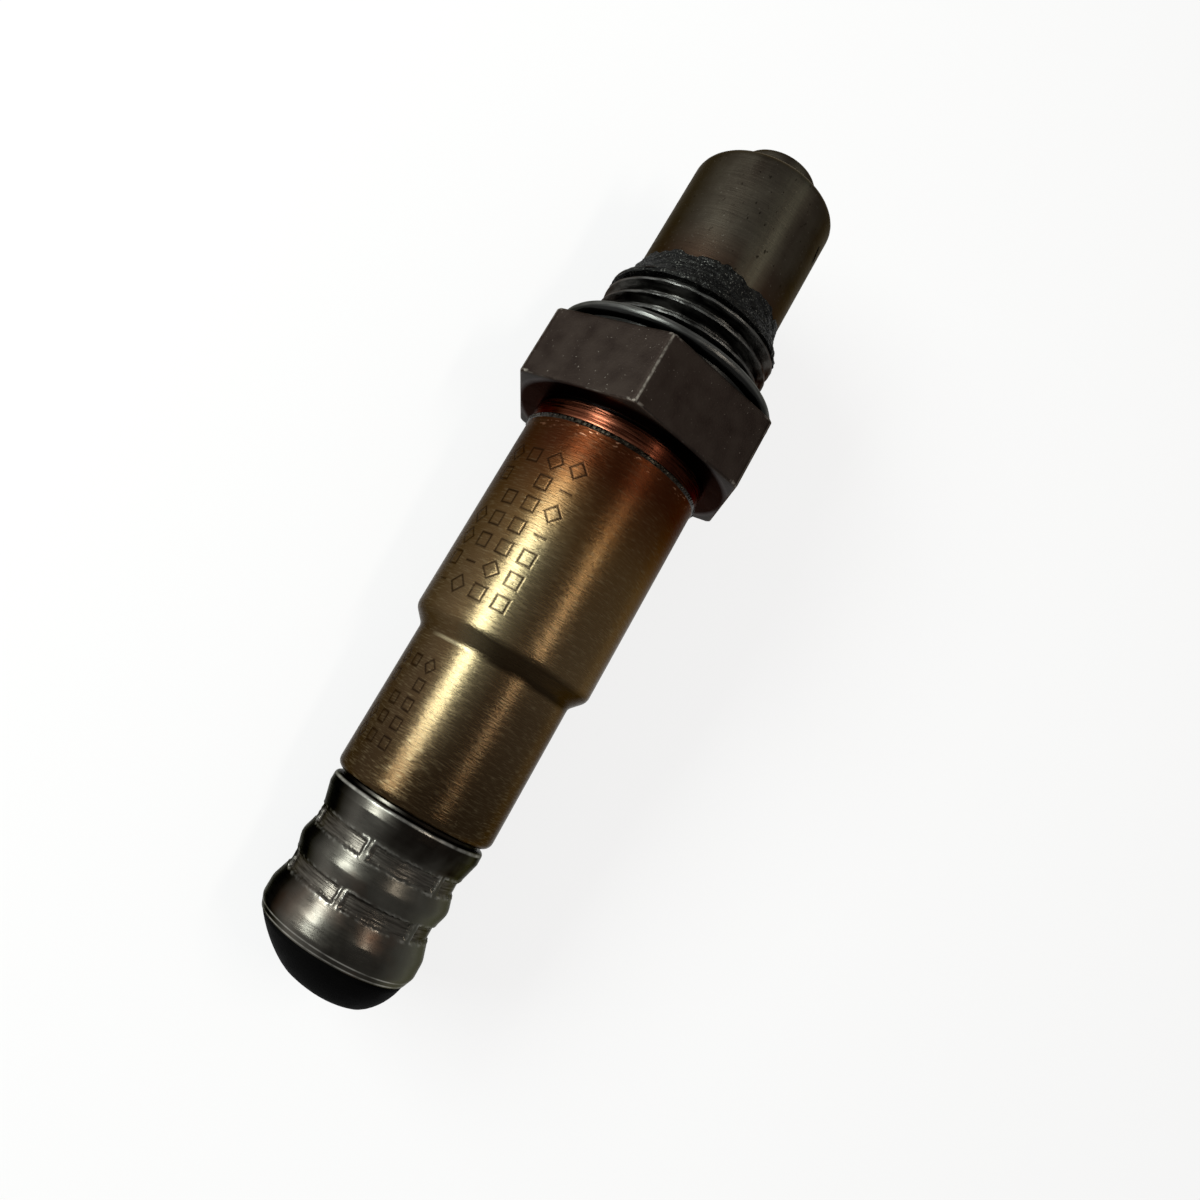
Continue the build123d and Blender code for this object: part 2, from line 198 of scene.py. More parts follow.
def new_material(name):
    """Starts a material. Gives it, its Principled shader and the sensor's own place in millimetres."""
    global tree
    material = bpy.data.materials.new(name)
    material.use_nodes = True
    tree = material.node_tree
    spot = add("ShaderNodeTexCoord")
    place = add("ShaderNodeMapping", {
        "Vector": spot.node.outputs["Object"], "Location": seat_point,
        "Rotation": sensor_turn.to_euler(), "Scale": (0.001, 0.001, 0.001),
    }, vector_type="TEXTURE")
    return material, tree.nodes["Principled BSDF"], place


def shader_group(name, inputs):
    """Starts a shader node group with named number inputs after its place, and one mask as its output."""
    global tree
    tree = bpy.data.node_groups.new(name, "ShaderNodeTree")
    tree.interface.new_socket("Place", in_out="INPUT", socket_type="NodeSocketVector")
    for size in inputs:
        tree.interface.new_socket(size, in_out="INPUT", socket_type="NodeSocketFloat")
    tree.interface.new_socket("Mask", in_out="OUTPUT", socket_type="NodeSocketFloat")
    return tree, tree.nodes.new("NodeGroupInput").outputs


def stretched(place, around, along):
    """The place with one scale across the axis and another along it."""
    scale = add("ShaderNodeCombineXYZ", [around, around, along])
    return add("ShaderNodeVectorMath", [place, scale], operation="MULTIPLY")


def noise(vector, scale, detail=3.0):
    """Soft noise from 0 to 1 about the middle."""
    return add("ShaderNodeTexNoise", {"Vector": vector, "Scale": scale, "Detail": detail})


def ranged(value, low, high, to_low=0.0, to_high=1.0):
    """A value moved from one range to another and held inside it."""
    return add("ShaderNodeMapRange", [value, low, high, to_low, to_high])


def mixed(mask, first, second):
    """Colour that goes from the first to the second as the mask goes from 0 to 1."""
    made = tree.nodes.new("ShaderNodeMix")
    made.data_type = "RGBA"
    made.clamp_factor = True
    for socket, value in zip((made.inputs[0], made.inputs[6], made.inputs[7]), (mask, first, second)):
        if isinstance(value, bpy.types.NodeSocket):
            tree.links.new(value, socket)
        else:
            socket.default_value = (*value, 1.0) if socket.type == "RGBA" else value
    return made.outputs[2]


def use(group, place, **values):
    """Places a shader group in a material with its own values."""
    made = tree.nodes.new("ShaderNodeGroup")
    made.node_tree = group
    tree.links.new(place, made.inputs["Place"])
    for name, value in values.items():
        made.inputs[name.replace("_", " ")].default_value = value
    return made.outputs["Mask"]


def split(vector):
    """The X, Y and Z of a vector, by name."""
    return add("ShaderNodeSeparateXYZ", [vector]).node.outputs


def from_axis(place):
    """The place without its height along the axis, and its distance from the axis."""
    flat = add("ShaderNodeVectorMath", [place, (1, 1, 0)], operation="MULTIPLY")
    return flat, add("ShaderNodeVectorMath", [flat], operation="LENGTH").node.outputs["Value"]


def finished(shader, height, depth, **sockets):
    """Sets or links the shader's named sockets, and bumps it by a height, the depth in millimetres."""
    for name, value in sockets.items():
        socket = shader.inputs[name.replace("_", " ")]
        if isinstance(value, bpy.types.NodeSocket):
            tree.links.new(value, socket)
        else:
            socket.default_value = value
    bump = add("ShaderNodeBump", {"Height": height, "Distance": depth / 1000})
    tree.links.new(bump, shader.inputs["Normal"])


cloud_group, given = shader_group("heat_cloud", ["Patch size", "Contrast"])
patches = noise(given["Place"], maths("DIVIDE", 1.0, given["Patch size"]), 5.0)
centred = maths("SUBTRACT", patches, 0.5)
cloud = maths("MULTIPLY_ADD", centred, given["Contrast"], 0.5)
add("NodeGroupOutput", [add("ShaderNodeClamp", [cloud])])

speck_group, given = shader_group("light_specks", ["Speck size", "Share"])
speck_scale = maths("DIVIDE", 1.0, given["Speck size"])
speck_noise = noise(given["Place"], speck_scale, 2.0)
level = maths("MULTIPLY_ADD", given["Share"], -0.4, 0.76)
speck_high = maths("ADD", level, 0.06)
add("NodeGroupOutput", [ranged(speck_noise, level, speck_high)])

side_group, given = shader_group("one_side", ["Middle", "None beyond", "Full within"])
flat_place = add("ShaderNodeVectorMath", [given["Place"], (1, 1, 0)], operation="MULTIPLY")
outward = add("ShaderNodeVectorMath", [flat_place], operation="NORMALIZE")
middle = maths("RADIANS", given["Middle"])
side_axis = add("ShaderNodeCombineXYZ", [
    maths("COSINE", middle), maths("SINE", middle), 0.0])
facing = add("ShaderNodeVectorMath", [outward, side_axis], operation="DOT_PRODUCT")
turned_away = maths("DEGREES", maths("ARCCOSINE", facing.node.outputs["Value"]))
add("NodeGroupOutput", [ranged(turned_away, given["None beyond"], given["Full within"])])

grain_group, given = shader_group("turned_grain", ["Around", "Along"])
strokes = noise(stretched(given["Place"], given["Around"], given["Along"]), 1.0, 4.0)
add("NodeGroupOutput", [ranged(strokes, 0.3, 0.7)])

thread_radius, thread_front, thread_lead = 8.95, 8.6, 1.2
thread_pitch, thread_cut = 1.5, 0.92
thread_phase = 0.232
flank_from, flank_to, cut_inside = 0.08, 0.43, 7.5
relief_radius, relief_front, relief_slope = 8.05, 2.2, 0.6
spigot_radius, spigot_front, nose_bore_radius = 6.97, 11.6, 4.0
bore_radius, ceramic_seat = 6.3, 5.0
hex_radius, hex_rear, hex_edge = 11.0, -7.2, 0.25
collar_radius, collar_rear = 8.85, -9.2
rear_spigot_radius, housing_rear = 8.32, -11.2
lip_radius, lip_front = 5.2, -10.0
turned_spacing, thread_spacing, turned_segments = 0.7, 0.07, 256

lead_corner, nose_corner = (thread_radius - thread_lead, thread_front), (nose_bore_radius, spigot_front)
spigot_stretch = (nose_corner, (spigot_radius, spigot_front), (spigot_radius, thread_front), lead_corner)
thread_stretch = (
    lead_corner, (thread_radius, thread_front - thread_lead),
    (thread_radius, relief_front + relief_slope), (relief_radius, relief_front))
rear_stretch = (
    (relief_radius, relief_front), (relief_radius, hex_rear), (collar_radius, hex_rear),
    (collar_radius, collar_rear), (rear_spigot_radius, collar_rear), (rear_spigot_radius, housing_rear),
    (lip_radius, housing_rear), (lip_radius, lip_front), (bore_radius, lip_front),
    (bore_radius, ceramic_seat), (nose_bore_radius, ceramic_seat), nose_corner)
shaft = []
for stretch, spacing in (
        (spigot_stretch, turned_spacing), (thread_stretch, thread_spacing), (rear_stretch, turned_spacing)):
    shaft += evened([Vector(corner) for corner in stretch], spacing, closed=False)
blank = lathed("turned_blank", shaft, turned_segments)

thread_tree, size = geometry_tree(
    "thread_cutting", ["Crest radius", "Pitch", "Depth", "Phase", "Front", "Rear"])
spot = split(add("GeometryNodeInputPosition"))
radius = maths("SQRT", maths(
    "MULTIPLY_ADD", spot["X"], spot["X"], times(spot["Y"], spot["Y"])))
turns = maths("DIVIDE", maths("ARCTAN2", spot["Y"], spot["X"]), math.tau)
lead = maths("SUBTRACT", maths("DIVIDE", spot["Z"], size["Pitch"]), turns)
wave = maths("PINGPONG", maths("ADD", lead, size["Phase"]), 0.5)
flank = ranged(wave, flank_from, flank_to)
groove = times(flank, size["Depth"])
bottom = maths("SUBTRACT", size["Crest radius"], groove)
cut_radius = maths("MINIMUM", radius, bottom)
scale = maths("DIVIDE", cut_radius, radius)
moved = add("ShaderNodeCombineXYZ", [
    times(spot["X"], scale), times(spot["Y"], scale), spot["Z"]])
in_front = maths("LESS_THAN", spot["Z"], size["Front"])
behind = maths("GREATER_THAN", spot["Z"], size["Rear"])
outside = maths("GREATER_THAN", radius, cut_inside)
chosen = times(times(in_front, behind), outside)
end_tree(add("GeometryNodeSetPosition", {
    "Geometry": size["Mesh"], "Selection": chosen, "Position": moved}), size["Material"])

flat_step = 0.22
corner_radius = hex_radius / math.cos(math.radians(30))
half_flat = hex_radius * math.tan(math.radians(30)) - hex_edge
flat_count = round(2 * half_flat / flat_step)
hex_outline = []
for side in range(6):
    turn = Matrix.Rotation(math.radians(60 * side), 2)
    hex_outline += [turn @ Vector((hex_radius, -half_flat + 2 * half_flat * k / flat_count))
                    for k in range(flat_count + 1)]
    middle = turn @ Matrix.Rotation(math.radians(30), 2) @ Vector((corner_radius, 0))
    hex_outline.append(middle * (1 - 0.5 * hex_edge / middle.length))
levels = []
for step in range(4):
    lift = step / 3
    inset = hex_edge * (1 - math.sin(math.radians(90 * lift)))
    levels.append((inset, -hex_edge * (1 - math.cos(math.radians(90 * lift)))))
side_steps = round((-hex_rear - 2 * hex_edge) / 0.3)
side_heights = [-hex_edge + (hex_rear + 2 * hex_edge) * k / side_steps for k in range(1, side_steps)]
rear_levels = [(inset, hex_rear - height) for inset, height in reversed(levels)]
hex_hole = relief_radius - 0.05


def hex_ring(inset, height, share=0.0):
    """Ring on the hexagon, moved by a share of the way to the round hole."""
    ring = []
    for point in hex_outline:
        outer = point * (1 - inset / hex_radius)
        ring.append((*outer.lerp(point.normalized() * hex_hole, share), height))
    return ring


face_shares = [share / 9 for share in range(9, 0, -1)]
hex_rings = [hex_ring(hex_edge, 0.0, share) for share in face_shares]
hex_rings += [hex_ring(inset, height) for inset, height in levels]
hex_rings += [hex_ring(0.0, height) for height in side_heights]
hex_rings += [hex_ring(inset, height) for inset, height in rear_levels]
hex_rings += [hex_ring(hex_edge, hex_rear, share) for share in reversed(face_shares)]
hexagon = ringed("hexagon_blank", hex_rings)

housing_steel, shader, place = new_material("housing_steel")
heat_brown, light_brown, soot_and_shade_black = (0.015, 0.0108, 0.0092), (0.034, 0.026, 0.0215), (0.003, 0.0025, 0.0025)
copper_shade_black, copper_red, copper_highlight_pink = (0.012, 0.0036, 0.002), (0.052, 0.013, 0.006), (0.29, 0.105, 0.058)
crest_highlight_grey, streak_grey, rear_olive = (0.105, 0.105, 0.10), (0.068, 0.067, 0.062), (0.070, 0.060, 0.042)
worn_steel = (0.19, 0.17, 0.145)
spot = split(place)
flat_place, radius = from_axis(place)
cloud = use(cloud_group, place, Patch_size=1.8, Contrast=2.0)
colour = mixed(cloud, heat_brown, light_brown)
specks = use(speck_group, place, Speck_size=0.2, Share=0.12)

# The corners and the rims of the hexagon are worn bright in broken lines.
across_flats = [add("ShaderNodeVectorMath", [flat_place, (math.cos(turn), math.sin(turn), 0)],
                    operation="DOT_PRODUCT").node.outputs["Value"] for turn in (0, math.pi / 3, -math.pi / 3)]
widest = maths("ABSOLUTE", across_flats[0])
for value in across_flats[1:]:
    widest = maths("MAXIMUM", widest, maths("ABSOLUTE", value))
from_middle = maths("ABSOLUTE", maths("SUBTRACT", spot["Z"], hex_rear / 2))
on_hex = ranged(from_middle, -hex_rear / 2 + 0.01, -hex_rear / 2 - 0.01)
corner_wear = times(ranged(radius, 12.53, 12.56), ranged(widest, 10.97, 10.91))
corner_wear = times(corner_wear, ranged(
    noise(place, 1.6, 5.0), 0.36, 0.58, 0.12, 0.85))
rim_wear = times(ranged(widest, 10.74, 10.88), ranged(from_middle, 3.44, 3.52))
rim_wear = times(rim_wear, ranged(noise(place, 0.6), 0.50, 0.64, 0.0, 0.5))
chips = times(ranged(radius, 12.17, 12.42), ranged(from_middle, 3.25, 3.45))
chips = times(chips, ranged(noise(place, 2.0), 0.44, 0.54))
wear = times(on_hex, maths("MAXIMUM", maths("MAXIMUM", corner_wear, rim_wear), chips))
wear = maths("MAXIMUM", wear, specks)
colour = mixed(wear, colour, worn_steel)

on_collar = ranged(spot["Z"], hex_rear + 0.1, hex_rear - 0.05)
turned = use(grain_group, place, Around=0.25, Along=4.0)
rear_face = times(on_collar, ranged(radius, 9.0, 9.15))
# The collar's pink turned streaks are a painted highlight on one side. Round the other side the copper is
# painted darker as shade.
collar_streaks = use(grain_group, place, Around=0.12, Along=6.0)
copper = mixed(maths("POWER", collar_streaks, 2.2), copper_red, copper_highlight_pink)
copper_highlight_side = use(side_group, place, Middle=140.0, None_beyond=34.0, Full_within=15.0)
copper = mixed(copper_highlight_side, mixed(cloud, copper_shade_black, copper_red), copper)
colour = mixed(on_collar, colour, copper)
dusty = times(rear_face, ranged(radius, 10.7, 11.5))
# The hexagon's rear face is painted near black as shade. The same black is the thread's real soot.
colour = mixed(rear_face, colour, soot_and_shade_black)
colour = mixed(times(dusty, ranged(cloud, 0.2, 0.9, 0.45, 1.0)), colour, rear_olive)
# The collar's corner just behind the hexagon is painted black as shade.
corner_shade = times(on_collar, ranged(spot["Z"], hex_rear - 0.55, hex_rear - 0.25))
colour = mixed(corner_shade, colour, soot_and_shade_black)
on_thread = ranged(spot["Z"], -0.1, 0.1)
sooty = mixed(ranged(times(turned, cloud), 0.04, 0.5), soot_and_shade_black, streak_grey)
colour = mixed(on_thread, colour, sooty)
# The pale broken lines on the thread's crests are partly crest wear and partly a painted highlight.
crest_highlight = times(on_thread, ranged(radius, 8.905, 8.95))
broken = ranged(noise(place, 0.7, 5.0), 0.35, 0.65, 0.1, 0.9)
colour = mixed(times(crest_highlight, broken), colour, crest_highlight_grey)
dull = ranged(cloud, 0.0, 1.0, 0.5, 0.68)
polish = maths("MAXIMUM", on_collar, on_thread)
smooth = maths("MULTIPLY_ADD", on_thread, 0.12, ranged(turned, 0.0, 1.0, 0.18, 0.34))
roughness = maths("MULTIPLY_ADD", polish, maths("SUBTRACT", smooth, dull), dull)
roughness = maths("MAXIMUM", roughness, times(dusty, 0.85))
pores = noise(place, 5.0, 6.0)
ridges = maths("MULTIPLY_ADD", on_collar, maths("SUBTRACT", turned, pores), pores)
finished(shader, ridges, 0.03, Base_Color=colour, Metallic=ranged(dusty, 0.0, 1.0, 1.0, 0.15),
         Roughness=roughness, Specular_Tint=(0.45, 0.40, 0.38, 1.0))

threaded = grown(blank, thread_tree, {
    "Crest radius": thread_radius, "Pitch": thread_pitch, "Depth": thread_cut, "Phase": thread_phase,
    "Front": thread_front + 0.01, "Rear": relief_front, "Material": housing_steel})
housing = made_piece("housing_body", joined("housing_body", threaded, hexagon), housing_steel)
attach(housing, "root")
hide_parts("housing")


# Crush gasket: one strip of steel sheet folded into three layers, threaded on against the hexagon.
# It is dull dark grey, and its outer bends are painted pale: partly rubbing, partly a painted highlight.
gasket_hole, gasket_outer, gasket_height, gasket_sheet = 8.4, 11.35, 1.7, 0.4
gasket_foot, gasket_top = 2.2, 2.15


def thickened(path, thickness):
    """Closed outline of a sheet with a rounded path as its middle."""
    sides = ([], [])
    for index, point in enumerate(path):
        ahead = path[min(index + 1, len(path) - 1)]
        behind = path[max(index - 1, 0)]
        along = (ahead - behind).normalized()
        for side, way in zip(sides, (1, -1)):
            side.append(point + Vector((-along.y, along.x)) * way * thickness / 2)
    return sides[0] + sides[1][::-1]


def bend(centre, radius, first_degrees, last_degrees, steps=8):
    """Points of an arc."""
    step = (last_degrees - first_degrees) / steps
    angles = [math.radians(first_degrees + step * k) for k in range(steps + 1)]
    return [Vector((centre[0] + radius * math.cos(a), centre[1] + radius * math.sin(a))) for a in angles]


layer = (gasket_height - gasket_sheet) / 2
low = gasket_sheet / 2
inner_bend = gasket_hole + gasket_sheet / 2 + layer / 2
outer_bend = gasket_outer - gasket_sheet / 2 - layer / 2
strip = [Vector((gasket_hole + gasket_foot, low))]
strip += bend((inner_bend, low + layer / 2), layer / 2, 270, 90)
strip += bend((outer_bend, low + layer * 1.5), layer / 2, -90, 90)
strip += [Vector((gasket_outer - gasket_top, gasket_height - low))]

gasket_steel, shader, place = new_material("gasket_steel")
gasket_grey, rub_highlight_grey = (0.020, 0.020, 0.019), (0.17, 0.17, 0.16)
spot = split(place)
flat_place, radius = from_axis(place)
cloud = use(cloud_group, place, Patch_size=1.5, Contrast=1.8)
scuffs = use(grain_group, place, Around=0.5, Along=6.0)
# The pale bands on the outer bends are partly rubbing and partly a painted highlight.
top_rub_highlight = times(ranged(radius, 10.8, 11.0), ranged(spot["Z"], 1.25, 1.4))
side_rub_highlight = times(ranged(radius, 11.1, 11.3), ranged(spot["Z"], 0.9, 1.1, 0.0, 0.6))
rub_and_highlight = times(maths("MAXIMUM", top_rub_highlight, side_rub_highlight), ranged(scuffs, 0.0, 1.0, 0.35, 1.0))
colour = mixed(rub_and_highlight, gasket_grey, rub_highlight_grey)
dull = ranged(cloud, 0.0, 1.0, 0.26, 0.42)
finished(shader, scuffs, 0.02, Base_Color=colour, Metallic=1.0, Roughness=dull,
         Specular_Tint=(0.45, 0.45, 0.43, 1.0))

gasket_mesh = lathed("gasket", evened(thickened(strip, gasket_sheet), 0.35), turned_segments)
gasket = made_piece("crush_gasket", gasket_mesh, gasket_steel)
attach(gasket, "root")
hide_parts("sealing_ring")


# Inner protection tube: drawn stainless tube, necked to the nub that shows at the tip. Its flange is
# held on the housing's spigot, and eight inlets at its root let the gas in.
inner_radius, inner_wall, inner_corner, inner_shoulder = 5.3, 0.4, 0.5, 22.8
nub_radius, nub_front, nub_corner, outlet_radius = 4.2, 26.7, 0.7, 1.2
inlet_radius, inlet_height, inlet_count = 0.7, 14.1, 8

protection_steel, shader, place = new_material("protection_tube_steel")
tube_brown, tube_olive = (0.024, 0.018, 0.0135), (0.052, 0.045, 0.034)
base_red, nick_grey, grime_and_shade = (0.034, 0.021, 0.014), (0.12, 0.11, 0.09), (0.008, 0.006, 0.004)
tube_highlight_streak, rim_tan_highlight, scratch_place = (0.080, 0.077, 0.056), (0.15, 0.115, 0.08), (-5.5, -5.1, 19.3)
spot = split(place)
cloud = use(cloud_group, place, Patch_size=3.0, Contrast=2.6)
drawn = noise(stretched(place, 0.45, 0.04), 1.0, 4.0)
streaked = times(maths("ADD", cloud, ranged(drawn, 0.3, 0.7)), 0.5)
colour = mixed(streaked, tube_brown, tube_olive)
colour = mixed(ranged(spot["Z"], 14.5, 10.5), colour, base_red)
# The tube is painted darker on its underside, towards the floor, as shade. The same dark colour serves the
# real specks and scratch below.
shaded_underside = use(side_group, place, Middle=30.0, None_beyond=92.0, Full_within=62.0)
colour = mixed(times(shaded_underside, 0.7), colour, grime_and_shade)
# A pale lengthwise streak down one side of the tube is a painted highlight.
highlight_streak_side = use(side_group, place, Middle=172.0, None_beyond=15.0, Full_within=3.0)
highlight_streak_side = times(highlight_streak_side, ranged(drawn, 0.35, 0.6, 0.25, 0.8))
colour = mixed(highlight_streak_side, colour, tube_highlight_streak)
flat_place, radius = from_axis(place)
# The pale tan ring at the tube's front rim is partly wear and partly a painted highlight.
tan_rim_highlight = times(ranged(radius, 5.7, 6.2), ranged(spot["Z"], 23.0, 23.25))
tan_rim_highlight = times(tan_rim_highlight, ranged(noise(place, 0.6, 4.0), 0.4, 0.6, 0.2, 0.9))
colour = mixed(tan_rim_highlight, colour, rim_tan_highlight)
specks = use(speck_group, place, Speck_size=0.22, Share=0.2)
colour = mixed(times(specks, 0.5), colour, nick_grey)
dark_specks = use(speck_group, stretched(place, 1.0, 0.6), Speck_size=0.4, Share=0.22)
colour = mixed(times(dark_specks, 0.8), colour, grime_and_shade)
from_scratch = add("ShaderNodeVectorMath", [place, scratch_place], operation="SUBTRACT")
from_scratch = add("ShaderNodeVectorMath", [stretched(from_scratch, 1.8, 0.8)], operation="LENGTH")
scratch = ranged(from_scratch.node.outputs["Value"], 1.0, 0.7)
colour = mixed(scratch, colour, grime_and_shade)
grain = use(grain_group, place, Around=0.35, Along=5.0)
satin = ranged(maths("ADD", grain, cloud), 0.0, 2.0, 0.36, 0.56)
finished(shader, grain, 0.006, Base_Color=colour, Metallic=1.0, Roughness=satin,
         Specular_Tint=(0.50, 0.47, 0.42, 1.0))

inner_outline = evened(rounded([
    (spigot_radius, spigot_front, 0), (spigot_radius, spigot_front + inner_wall, 0),
    (inner_radius, spigot_front + inner_wall, 0), (inner_radius, inner_shoulder, inner_corner),
    (nub_radius, inner_shoulder, 0), (nub_radius, nub_front, nub_corner),
    (outlet_radius, nub_front, 0), (outlet_radius, nub_front - inner_wall, 0),
    (nub_radius - inner_wall, nub_front - inner_wall, nub_corner - inner_wall),
    (nub_radius - inner_wall, inner_shoulder - inner_wall, 0),
    (inner_radius - inner_wall, inner_shoulder - inner_wall, 0), (inner_radius - inner_wall, spigot_front, 0),
]), turned_spacing)
inner_mesh = lathed("inner_tube", inner_outline, 160)
drills = bmesh.new()
for hole in range(inlet_count):
    turn = Matrix.Rotation(math.tau * hole / inlet_count, 4, "Z")
    place_drill = turn @ Matrix.Translation((inner_radius, 0, inlet_height))
    place_drill = place_drill @ Matrix.Rotation(math.pi / 2, 4, "Y")
    bmesh.ops.create_cone(drills, cap_ends=True, segments=24, radius1=inlet_radius, radius2=inlet_radius,
                          depth=4 * inner_wall, matrix=place_drill)


def carved(mesh, cutters):
    """The closed mesh with the cutters, a bmesh of closed shapes, cut out of it."""
    shape = bmesh.new()
    shape.from_mesh(mesh)
    for solid in (shape, cutters):
        bmesh.ops.recalc_face_normals(solid, faces=solid.faces)
    shape.to_mesh(mesh)
    shape.free()
    tools = bpy.data.objects.new("cutters", bpy.data.meshes.new("cutters"))
    cutters.to_mesh(tools.data)
    cutters.free()
    blank = bpy.data.objects.new("carved_blank", mesh)
    for item in (tools, blank):
        bpy.context.scene.collection.objects.link(item)
    cut = blank.modifiers.new("cuts", "BOOLEAN")
    cut.operation = "DIFFERENCE"
    cut.object = tools
    result = bpy.data.meshes.new_from_object(blank.evaluated_get(bpy.context.evaluated_depsgraph_get()))
    bpy.data.objects.remove(blank)
    bpy.data.objects.remove(tools)
    return result


inner_tube = made_piece("inner_tube", carved(inner_mesh, drills), protection_steel)
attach(inner_tube, "root")
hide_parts("inner_protection_tube")


# Outer protection tube: drawn stainless tube over the spigot, with the nub through its closed end.
# Exhaust gas has oxidised it a dark brown olive, redder near its root.
tube_radius, tube_wall, tube_front, tube_corner, gas_gap = 7.5, 0.5, 23.6, 1.2, 0.3
opening_radius = nub_radius + gas_gap
outer_outline = evened(rounded([
    (tube_radius, thread_front, 0), (tube_radius, tube_front, tube_corner),
    (opening_radius, tube_front, 0.12), (opening_radius, tube_front - tube_wall, 0),
    (tube_radius - tube_wall, tube_front - tube_wall, tube_corner - tube_wall),
    (tube_radius - tube_wall, thread_front, 0),
]), turned_spacing)
scratch_size, scratch_tilt = (0.24, 0.24, 0.95, 1.0), math.radians(28)
scratch_lie = Matrix.Rotation(scratch_tilt, 4, Vector(scratch_place) * Vector((1, 1, 0)))
scratch_cutter = bmesh.new()
bmesh.ops.create_uvsphere(scratch_cutter, u_segments=12, v_segments=10, radius=1.0, matrix=Matrix.Translation(
    scratch_place) @ scratch_lie @ Matrix.Diagonal(scratch_size))
outer_mesh = carved(lathed("outer_tube", outer_outline, turned_segments), scratch_cutter)
outer_tube = made_piece("outer_tube", outer_mesh, protection_steel)
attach(outer_tube, "root")
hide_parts("outer_protection_tube")


# Anti-seize paste: a baked, gritty ring of dark grey paste, left on the thread's front end and on
# the root of the tube from the last time the sensor was screwed in.
paste_outline = [
    (8.9, 7.0), (8.85, 7.5), (8.4, 8.1), (8.0, 8.7), (7.8, 9.4), (7.66, 10.1), (7.56, 10.5), (7.3, 10.6),
    (7.3, 7.2), (8.2, 7.0)]
paste_spacing, paste_segments = 0.12, 540
paste_grain, paste_height, paste_ragged = 2.0, 0.55, 2.4
paste_points = evened([Vector(point) for point in paste_outline], paste_spacing)
paste_mesh = lathed("paste", paste_points, paste_segments)

thread_paste, shader, place = new_material("thread_paste")
paste_black, paste_grey, paste_pale = (0.003, 0.003, 0.003), (0.017, 0.017, 0.0155), (0.10, 0.10, 0.09)
streaks = use(grain_group, place, Around=0.35, Along=2.6)
grit = noise(place, 1.8, 6.0)
caked = times(streaks, ranged(grit, 0.35, 0.7))
colour = mixed(caked, paste_black, paste_grey)
specks = use(speck_group, place, Speck_size=0.17, Share=0.34)
colour = mixed(specks, colour, paste_pale)
finished(shader, maths("MULTIPLY_ADD", grit, 1.6, streaks), 0.12, Base_Color=colour, Metallic=0.6,
         Roughness=0.42, Specular_IOR_Level=0.3, Specular_Tint=(0.38, 0.38, 0.36, 1.0))

paste_tree, size = geometry_tree("paste_grit", ["Grain", "Height", "Ragged edge"])
spot = add("GeometryNodeInputPosition")
squeezed = add("ShaderNodeVectorMath", [spot, (0.5, 0.5, 1.6)], operation="MULTIPLY")
lumps = add("ShaderNodeTexNoise", {"Vector": squeezed, "Scale": size["Grain"], "Detail": 4.0})
lift = times(maths("SUBTRACT", lumps, 0.5), size["Height"])
flat_spot = add("ShaderNodeVectorMath", [spot, (1, 1, 0)], operation="MULTIPLY")
outward = add("ShaderNodeVectorMath", [flat_spot], operation="NORMALIZE")
away = add("ShaderNodeVectorMath", {0: outward, "Scale": lift}, operation="SCALE")
ragged = add("ShaderNodeTexNoise", {"Vector": flat_spot, "Scale": 0.45, "Detail": 2.5})
rise = times(maths("SUBTRACT", ragged, 0.5), size["Ragged edge"])
height = split(spot)["Z"]
upper = ranged(height, 8.4, 10.5)
up = add("ShaderNodeCombineXYZ", [0.0, 0.0, times(rise, upper)])
both = add("ShaderNodeVectorMath", [away, up])
end_tree(add("GeometryNodeSetPosition", {
    "Geometry": size["Mesh"], "Offset": both}), size["Material"])
paste = made_piece("thread_paste", grown(paste_mesh, paste_tree, {
    "Grain": paste_grain, "Height": paste_height, "Ragged edge": paste_ragged,
    "Material": thread_paste}), thread_paste, 60)
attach(paste, "root")


# Protective sleeve: drawn from steel tube, pushed over the housing's rear spigot, and stepped down
# over the cable end. The weld's and the exhaust's heat have tinted it copper, then gold and bronze.
sleeve_radius, sleeve_bore, sleeve_front = 8.85, 8.35, -9.5
small_radius, small_bore, lip_inner = 7.65, 7.15, 6.73
shoulder_front, shoulder_rear, sleeve_rear = -29.5, -30.8, -44.9
shoulder_round, sleeve_wall = 1.2, 0.5

mark_group, given = shader_group(
    "etched_marks", ["First turn", "Row turn", "Rows", "Start", "Pitch", "Marks", "Mark size", "Line"])
spot = split(given["Place"])
turn = maths("DEGREES", maths("ARCTAN2", spot["Y"], spot["X"]))
row = maths("DIVIDE", maths("SUBTRACT", turn, given["First turn"]), given["Row turn"])
place_in_row = maths("DIVIDE", maths("SUBTRACT", given["Start"], spot["Z"]), given["Pitch"])
cell = add("ShaderNodeCombineXYZ", [
    maths("FLOOR", row), maths("FLOOR", place_in_row), 3.0])
pick = add("ShaderNodeTexWhiteNoise", [cell])
off_row = maths("SUBTRACT", maths("FRACT", row), 0.5)
off_place = maths("SUBTRACT", maths("FRACT", place_in_row), 0.5)
across = maths("ABSOLUTE", times(off_row, times(
    given["Row turn"], math.radians(sleeve_radius))))
along = maths("ABSOLUTE", times(off_place, given["Pitch"]))
square = maths("MAXIMUM", across, along)
diamond = times(maths("ADD", across, along), 0.75)
chosen = maths("GREATER_THAN", pick, 0.5)
size = maths("ADD", square, times(
    chosen, maths("SUBTRACT", diamond, square)))
edge = maths("ABSOLUTE", maths("SUBTRACT", size, given["Mark size"]))
outlined = ranged(edge, given["Line"], 0.0)
inside_dash = times(ranged(along, given["Line"], 0.0), maths(
    "LESS_THAN", across, given["Mark size"]))
as_dash = maths("GREATER_THAN", pick, 0.78)
mark = maths("ADD", outlined, times(
    as_dash, maths("SUBTRACT", inside_dash, outlined)))
